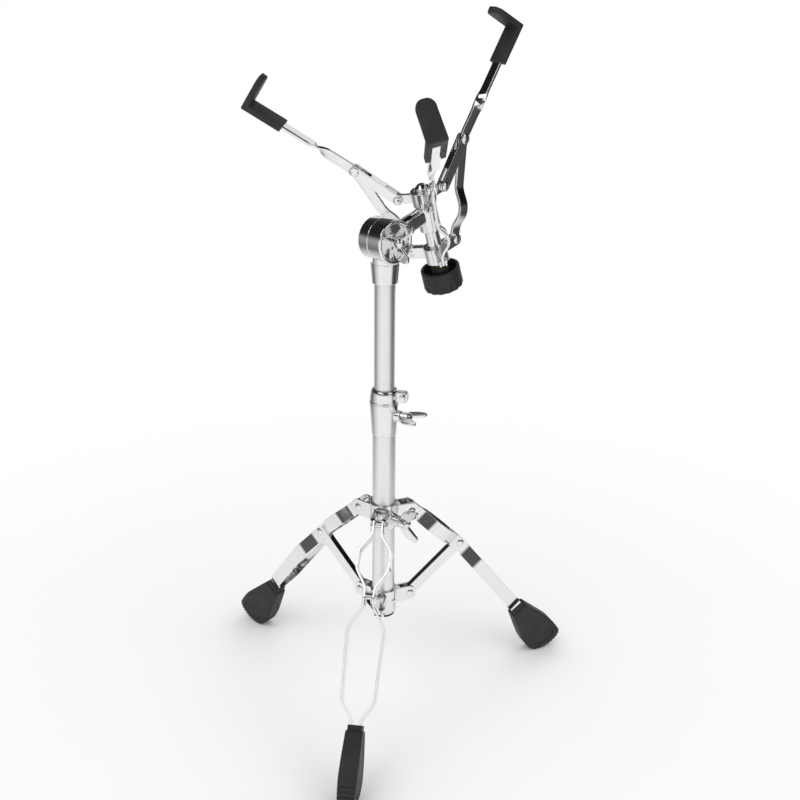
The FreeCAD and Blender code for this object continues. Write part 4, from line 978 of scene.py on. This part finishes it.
class STAND_OT_wings(bpy.types.Operator):
    """Forms the wing screws of the collar and the clamp and the wing nut of the tilter."""
    bl_idname = "stand.wings"
    bl_label = "Wing screws and nut"

    def execute(self, context):
        wing = context.scene.stand_wings
        places = (("collar_wing", "collar_wing_turn", "collar_wing_screw", UP, 0.0, WING_SHANK),
                  ("clamp_wing", "clamp_wing_turn", "clamp_wing_screw", None, 0.0, WING_SHANK),
                  ("tilter_wing", "tilter_wing_turn", "tilter_wing_nut", UP, wing.nut_turn, 0.0))
        for body, joint, node, leaf, turn, shank in places:
            along = joint_axis(joint)
            leaf_way = np.cross(UP, along) if leaf is None else leaf
            leaf_way = leaf_way * math.cos(turn) - np.cross(along, leaf_way) * math.sin(turn)
            axes = np.stack([along, np.cross(leaf_way, along), leaf_way])
            root = wing_root(node, joint, along, wing)
            leaves = [placed(leaf_shape(wing, way), axes, root) for way in (1.0, -1.0)]
            hub_axes = np.stack([leaf_way, np.cross(along, leaf_way), along])
            hub = lathe(hub_profile(wing, shank, root, node, along), HUB_POINTS, hub_axes, root)
            piece = skin(body + "_leaves", leaves + [hub], sharp=42)
            settle(piece, body, "chrome", finishes["cast"], node)
        return {"FINISHED"}


def node_points(node):
    """Points of a solid's mesh, one row each."""
    vertices = frame["nodes"][node].data.vertices
    points = np.empty(3 * len(vertices))
    vertices.foreach_get("co", points)
    return points.reshape(-1, 3)


def wing_root(node, joint, along, wing):
    """Root of a wing on its joint's axis: its far end, from the node's points, less the wing's length."""
    start = joint_place(joint)
    reach = (node_points(node) - start) @ along
    return start + along * (reach.max() - wing.length)


def hub_profile(wing, shank, root, node, along):
    """Hub of a wing as (radius, height) rows: a shank, a collar with a small chamfer, and a domed end."""
    back = min(0.0, float(((node_points(node) - root) @ along).min()))
    dome = np.linspace(0, math.pi / 2, 9)
    radius = wing.hub_radius
    rows = [[0.0, back], [shank, back], [shank, 0.0]] if shank else [[0.0, 0.0]]
    rows += [[radius - WING_CHAMFER, 0.0], [radius, WING_CHAMFER], [radius, wing.hub_length]]
    cap = np.stack([radius * np.cos(dome), wing.hub_length + WING_DOME_SHARE * radius * np.sin(dome)], axis=1)
    return np.vstack([rows, cap])


def leaf_shape(wing, way):
    """Leaf of a wing: a pillow on an outline of shares of its length and reach, thinner towards the tip."""
    size = np.array([wing.length, wing.reach])
    outline = rounded_outline(np.array(LEAF_SHARES) * size, LEAF_CUTS, LEAF_POINTS)
    centre = np.array(LEAF_CENTRE_SHARES) * size

    def half_thickness(points):
        outward = np.clip(points[..., 1] / wing.reach, 0, 1)
        return wing.thickness / 2 * (LEAF_ROOT_SHARE - LEAF_TAPER_SHARE * outward)

    shape = pillow(outline, centre, half_thickness, LEAF_EDGE, np.linspace(0, 1, 7))
    return shape * np.array([1.0, 1.0, way])


# Stage


class STAND_OT_studio(bpy.types.Operator):
    """Sets the floor, the light and the camera at the photograph's angle."""
    bl_idname = "stand.studio"
    bl_label = "Studio"

    def execute(self, context):
        studio = context.scene.stand_studio
        scene = context.scene
        scene.view_settings.view_transform = "Standard"
        disc = [[0.0, FLOOR_DROP], [FLOOR_RADIUS, FLOOR_DROP]]
        floor = skin("floor", lathe(disc, FLOOR_POINTS, np.eye(3), np.zeros(3)))
        floor.data.materials.append(floor_finish(tuple(studio.floor_colour)))
        set_room(scene, studio.room_light)
        for name, (place, aim, size, power) in LAMPS.items():
            add_lamp(name, place, aim, size, power)
        set_camera(scene, studio)
        return {"FINISHED"}


def floor_finish(colour):
    """Pale floor that melts into the white room with the distance from the column."""
    finish = Finish("pale_floor")
    finish.shader.inputs["Base Color"].default_value = (*colour, 1.0)
    finish.shader.inputs["Roughness"].default_value = 0.9
    finish.shader.inputs["Specular IOR Level"].default_value = 0.1
    away = finish.node("ShaderNodeVectorMath")
    away.operation = "LENGTH"
    finish.join(finish.place, away.inputs[0])
    fade = finish.node("ShaderNodeMapRange", From_Min=FLOOR_FADE_START, From_Max=FLOOR_FADE_END, To_Min=1.0,
                       To_Max=0.0)
    fade.interpolation_type = "SMOOTHERSTEP"
    finish.join(away.outputs["Value"], fade.inputs["Value"])
    finish.join(fade.outputs["Result"], finish.shader.inputs["Alpha"])
    return finish.material


def set_room(scene, light):
    """Room: white to the camera; to shiny surfaces a white surround with grey flags under a dark ceiling."""
    world = bpy.data.worlds.new("studio_room")
    world.use_nodes = True
    world.node_tree.nodes.clear()
    scene.world = world
    room = NodeTree(world.node_tree)
    parts = room.node("ShaderNodeSeparateXYZ")
    room.join(room.node("ShaderNodeTexCoord").outputs["Generated"], parts.inputs["Vector"])
    height = room.node("ShaderNodeMapRange", From_Min=-1.0, From_Max=1.0)
    room.join(parts.outputs["Z"], height.inputs["Value"])
    turn = room.node("ShaderNodeMapRange", From_Min=-math.pi, From_Max=math.pi)
    room.join(combined(room, "ARCTAN2", parts.outputs["Y"], parts.outputs["X"]), turn.inputs["Value"])
    surround = room.node("ShaderNodeMixRGB", Fac=1.0)
    surround.blend_type = "MULTIPLY"
    room.join(greys(room, height.outputs["Result"], CEILING_STOPS), surround.inputs["Color1"])
    room.join(greys(room, turn.outputs["Result"], FLAG_STOPS), surround.inputs["Color2"])
    mirror = room.node("ShaderNodeBackground")
    room.join(surround.outputs["Color"], mirror.inputs["Color"])
    even = room.node("ShaderNodeBackground", Color=WHITE, Strength=light)
    seen = room.node("ShaderNodeBackground", Color=WHITE)
    path = room.node("ShaderNodeLightPath")
    shiny = combined(room, "MAXIMUM", path.outputs["Is Glossy Ray"], path.outputs["Is Transmission Ray"])
    lit = mixed(room, shiny, even.outputs["Background"], mirror.outputs["Background"])
    shown = mixed(room, path.outputs["Is Camera Ray"], lit, seen.outputs["Background"])
    room.join(shown, room.node("ShaderNodeOutputWorld").inputs["Surface"])


def combined(room, operation, first, second):
    """Value of an operation on two values."""
    step = room.node("ShaderNodeMath")
    step.operation = operation
    room.join(first, step.inputs[0])
    room.join(second, step.inputs[1])
    return step.outputs["Value"]


def mixed(room, share, first, second):
    """Shader that goes from the first to the second with a share."""
    mix = room.node("ShaderNodeMixShader")
    room.join(share, mix.inputs["Fac"])
    room.join(first, mix.inputs[1])
    room.join(second, mix.inputs[2])
    return mix.outputs["Shader"]


def greys(room, source, stops):
    """Colour ramp of grey stops of (position, level), read at a source."""
    ramp = room.node("ShaderNodeValToRGB")
    elements = ramp.color_ramp.elements
    while len(elements) < len(stops):
        elements.new(0.5)
    for element, (position, level) in zip(elements, stops):
        element.position = position
        element.color = (level, level, level, 1.0)
    room.join(source, ramp.inputs["Fac"])
    return ramp.outputs["Color"]


def add_lamp(name, place, aim, size, power):
    """Square softbox that looks at a point."""
    lamp = bpy.data.lights.new(name, "AREA")
    lamp.shape = "SQUARE"
    lamp.size = size
    lamp.energy = power
    holder = bpy.data.objects.new(name, lamp)
    back = unit(np.array(place, float) - np.array(aim, float))
    right = unit(np.cross(UP, back))
    turn = np.eye(4)
    turn[:3, :3] = np.stack([right, np.cross(back, right), back], axis=1)
    turn[:3, 3] = place
    holder.matrix_world = Matrix(turn.tolist())
    bpy.context.scene.collection.objects.link(holder)


def set_camera(scene, studio):
    """Camera at the photograph's place: yaw and pitch from the column's line, then roll, then the heading."""
    right = np.array([math.cos(studio.yaw), -math.sin(studio.yaw), 0.0])
    ahead = np.array([math.sin(studio.yaw), math.cos(studio.yaw), 0.0])
    look = math.cos(studio.pitch) * ahead - math.sin(studio.pitch) * UP
    rise = math.sin(studio.pitch) * ahead + math.cos(studio.pitch) * UP
    rolled_right = math.cos(studio.roll) * right - math.sin(studio.roll) * rise
    rolled_up = math.sin(studio.roll) * right + math.cos(studio.roll) * rise
    cosine, sine = math.cos(studio.heading), math.sin(studio.heading)
    heading = np.array([[cosine, -sine, 0.0], [sine, cosine, 0.0], [0.0, 0.0, 1.0]])
    turn = np.eye(4)
    turn[:3, :3] = heading @ np.stack([rolled_right, rolled_up, -look], axis=1)
    turn[:3, 3] = heading @ np.array([0.0, -studio.distance, studio.height])
    lens = bpy.data.cameras.new("photo_camera")
    lens.lens = studio.focal_length
    lens.sensor_width = SENSOR_WIDTH
    lens.clip_end = 50.0
    camera = bpy.data.objects.new("photo_camera", lens)
    camera.matrix_world = Matrix(turn.tolist())
    scene.collection.objects.link(camera)
    scene.camera = camera


class STAND_PT_panel(bpy.types.Panel):
    """Lists the stand's pieces and sizes in the sidebar."""
    bl_idname = "STAND_PT_panel"
    bl_label = "Drum stand"
    bl_space_type = "VIEW_3D"
    bl_region_type = "UI"
    bl_category = "Drum stand"

    def draw(self, context):
        for step in STEPS:
            self.layout.operator(step.bl_idname)
        for name in GROUPS:
            group = getattr(context.scene, name)
            box = self.layout.box()
            for key in group.__annotations__:
                box.prop(group, key)


STEPS = (STAND_OT_finishes, STAND_OT_rubber_boots, STAND_OT_arms, STAND_OT_arm_pads, STAND_OT_knob,
         STAND_OT_clamp_band, STAND_OT_wings, STAND_OT_studio)
GROUPS = {"stand_boots": RubberBootSizes, "stand_arms": ArmSizes, "stand_knob": KnobSizes, "stand_band": BandSizes,
          "stand_wings": WingSizes, "stand_colours": FinishColours, "stand_studio": StudioSettings}


def register():
    for group in GROUPS.values():
        bpy.utils.register_class(group)
    for step in STEPS:
        bpy.utils.register_class(step)
    bpy.utils.register_class(STAND_PT_panel)
    for name, group in GROUPS.items():
        setattr(bpy.types.Scene, name, bpy.props.PointerProperty(type=group))


def unregister():
    for name in GROUPS:
        delattr(bpy.types.Scene, name)
    bpy.utils.unregister_class(STAND_PT_panel)
    for step in reversed(STEPS):
        bpy.utils.unregister_class(step)
    for group in reversed(list(GROUPS.values())):
        bpy.utils.unregister_class(group)


def main():
    register()
    bpy.ops.stand.finishes()
    bpy.ops.stand.rubber_boots()
    bpy.ops.stand.arms()
    bpy.ops.stand.arm_pads()
    bpy.ops.stand.knob()
    bpy.ops.stand.clamp_band()
    bpy.ops.stand.wings()
    bpy.ops.stand.studio()


if __name__ == "__main__":
    main()
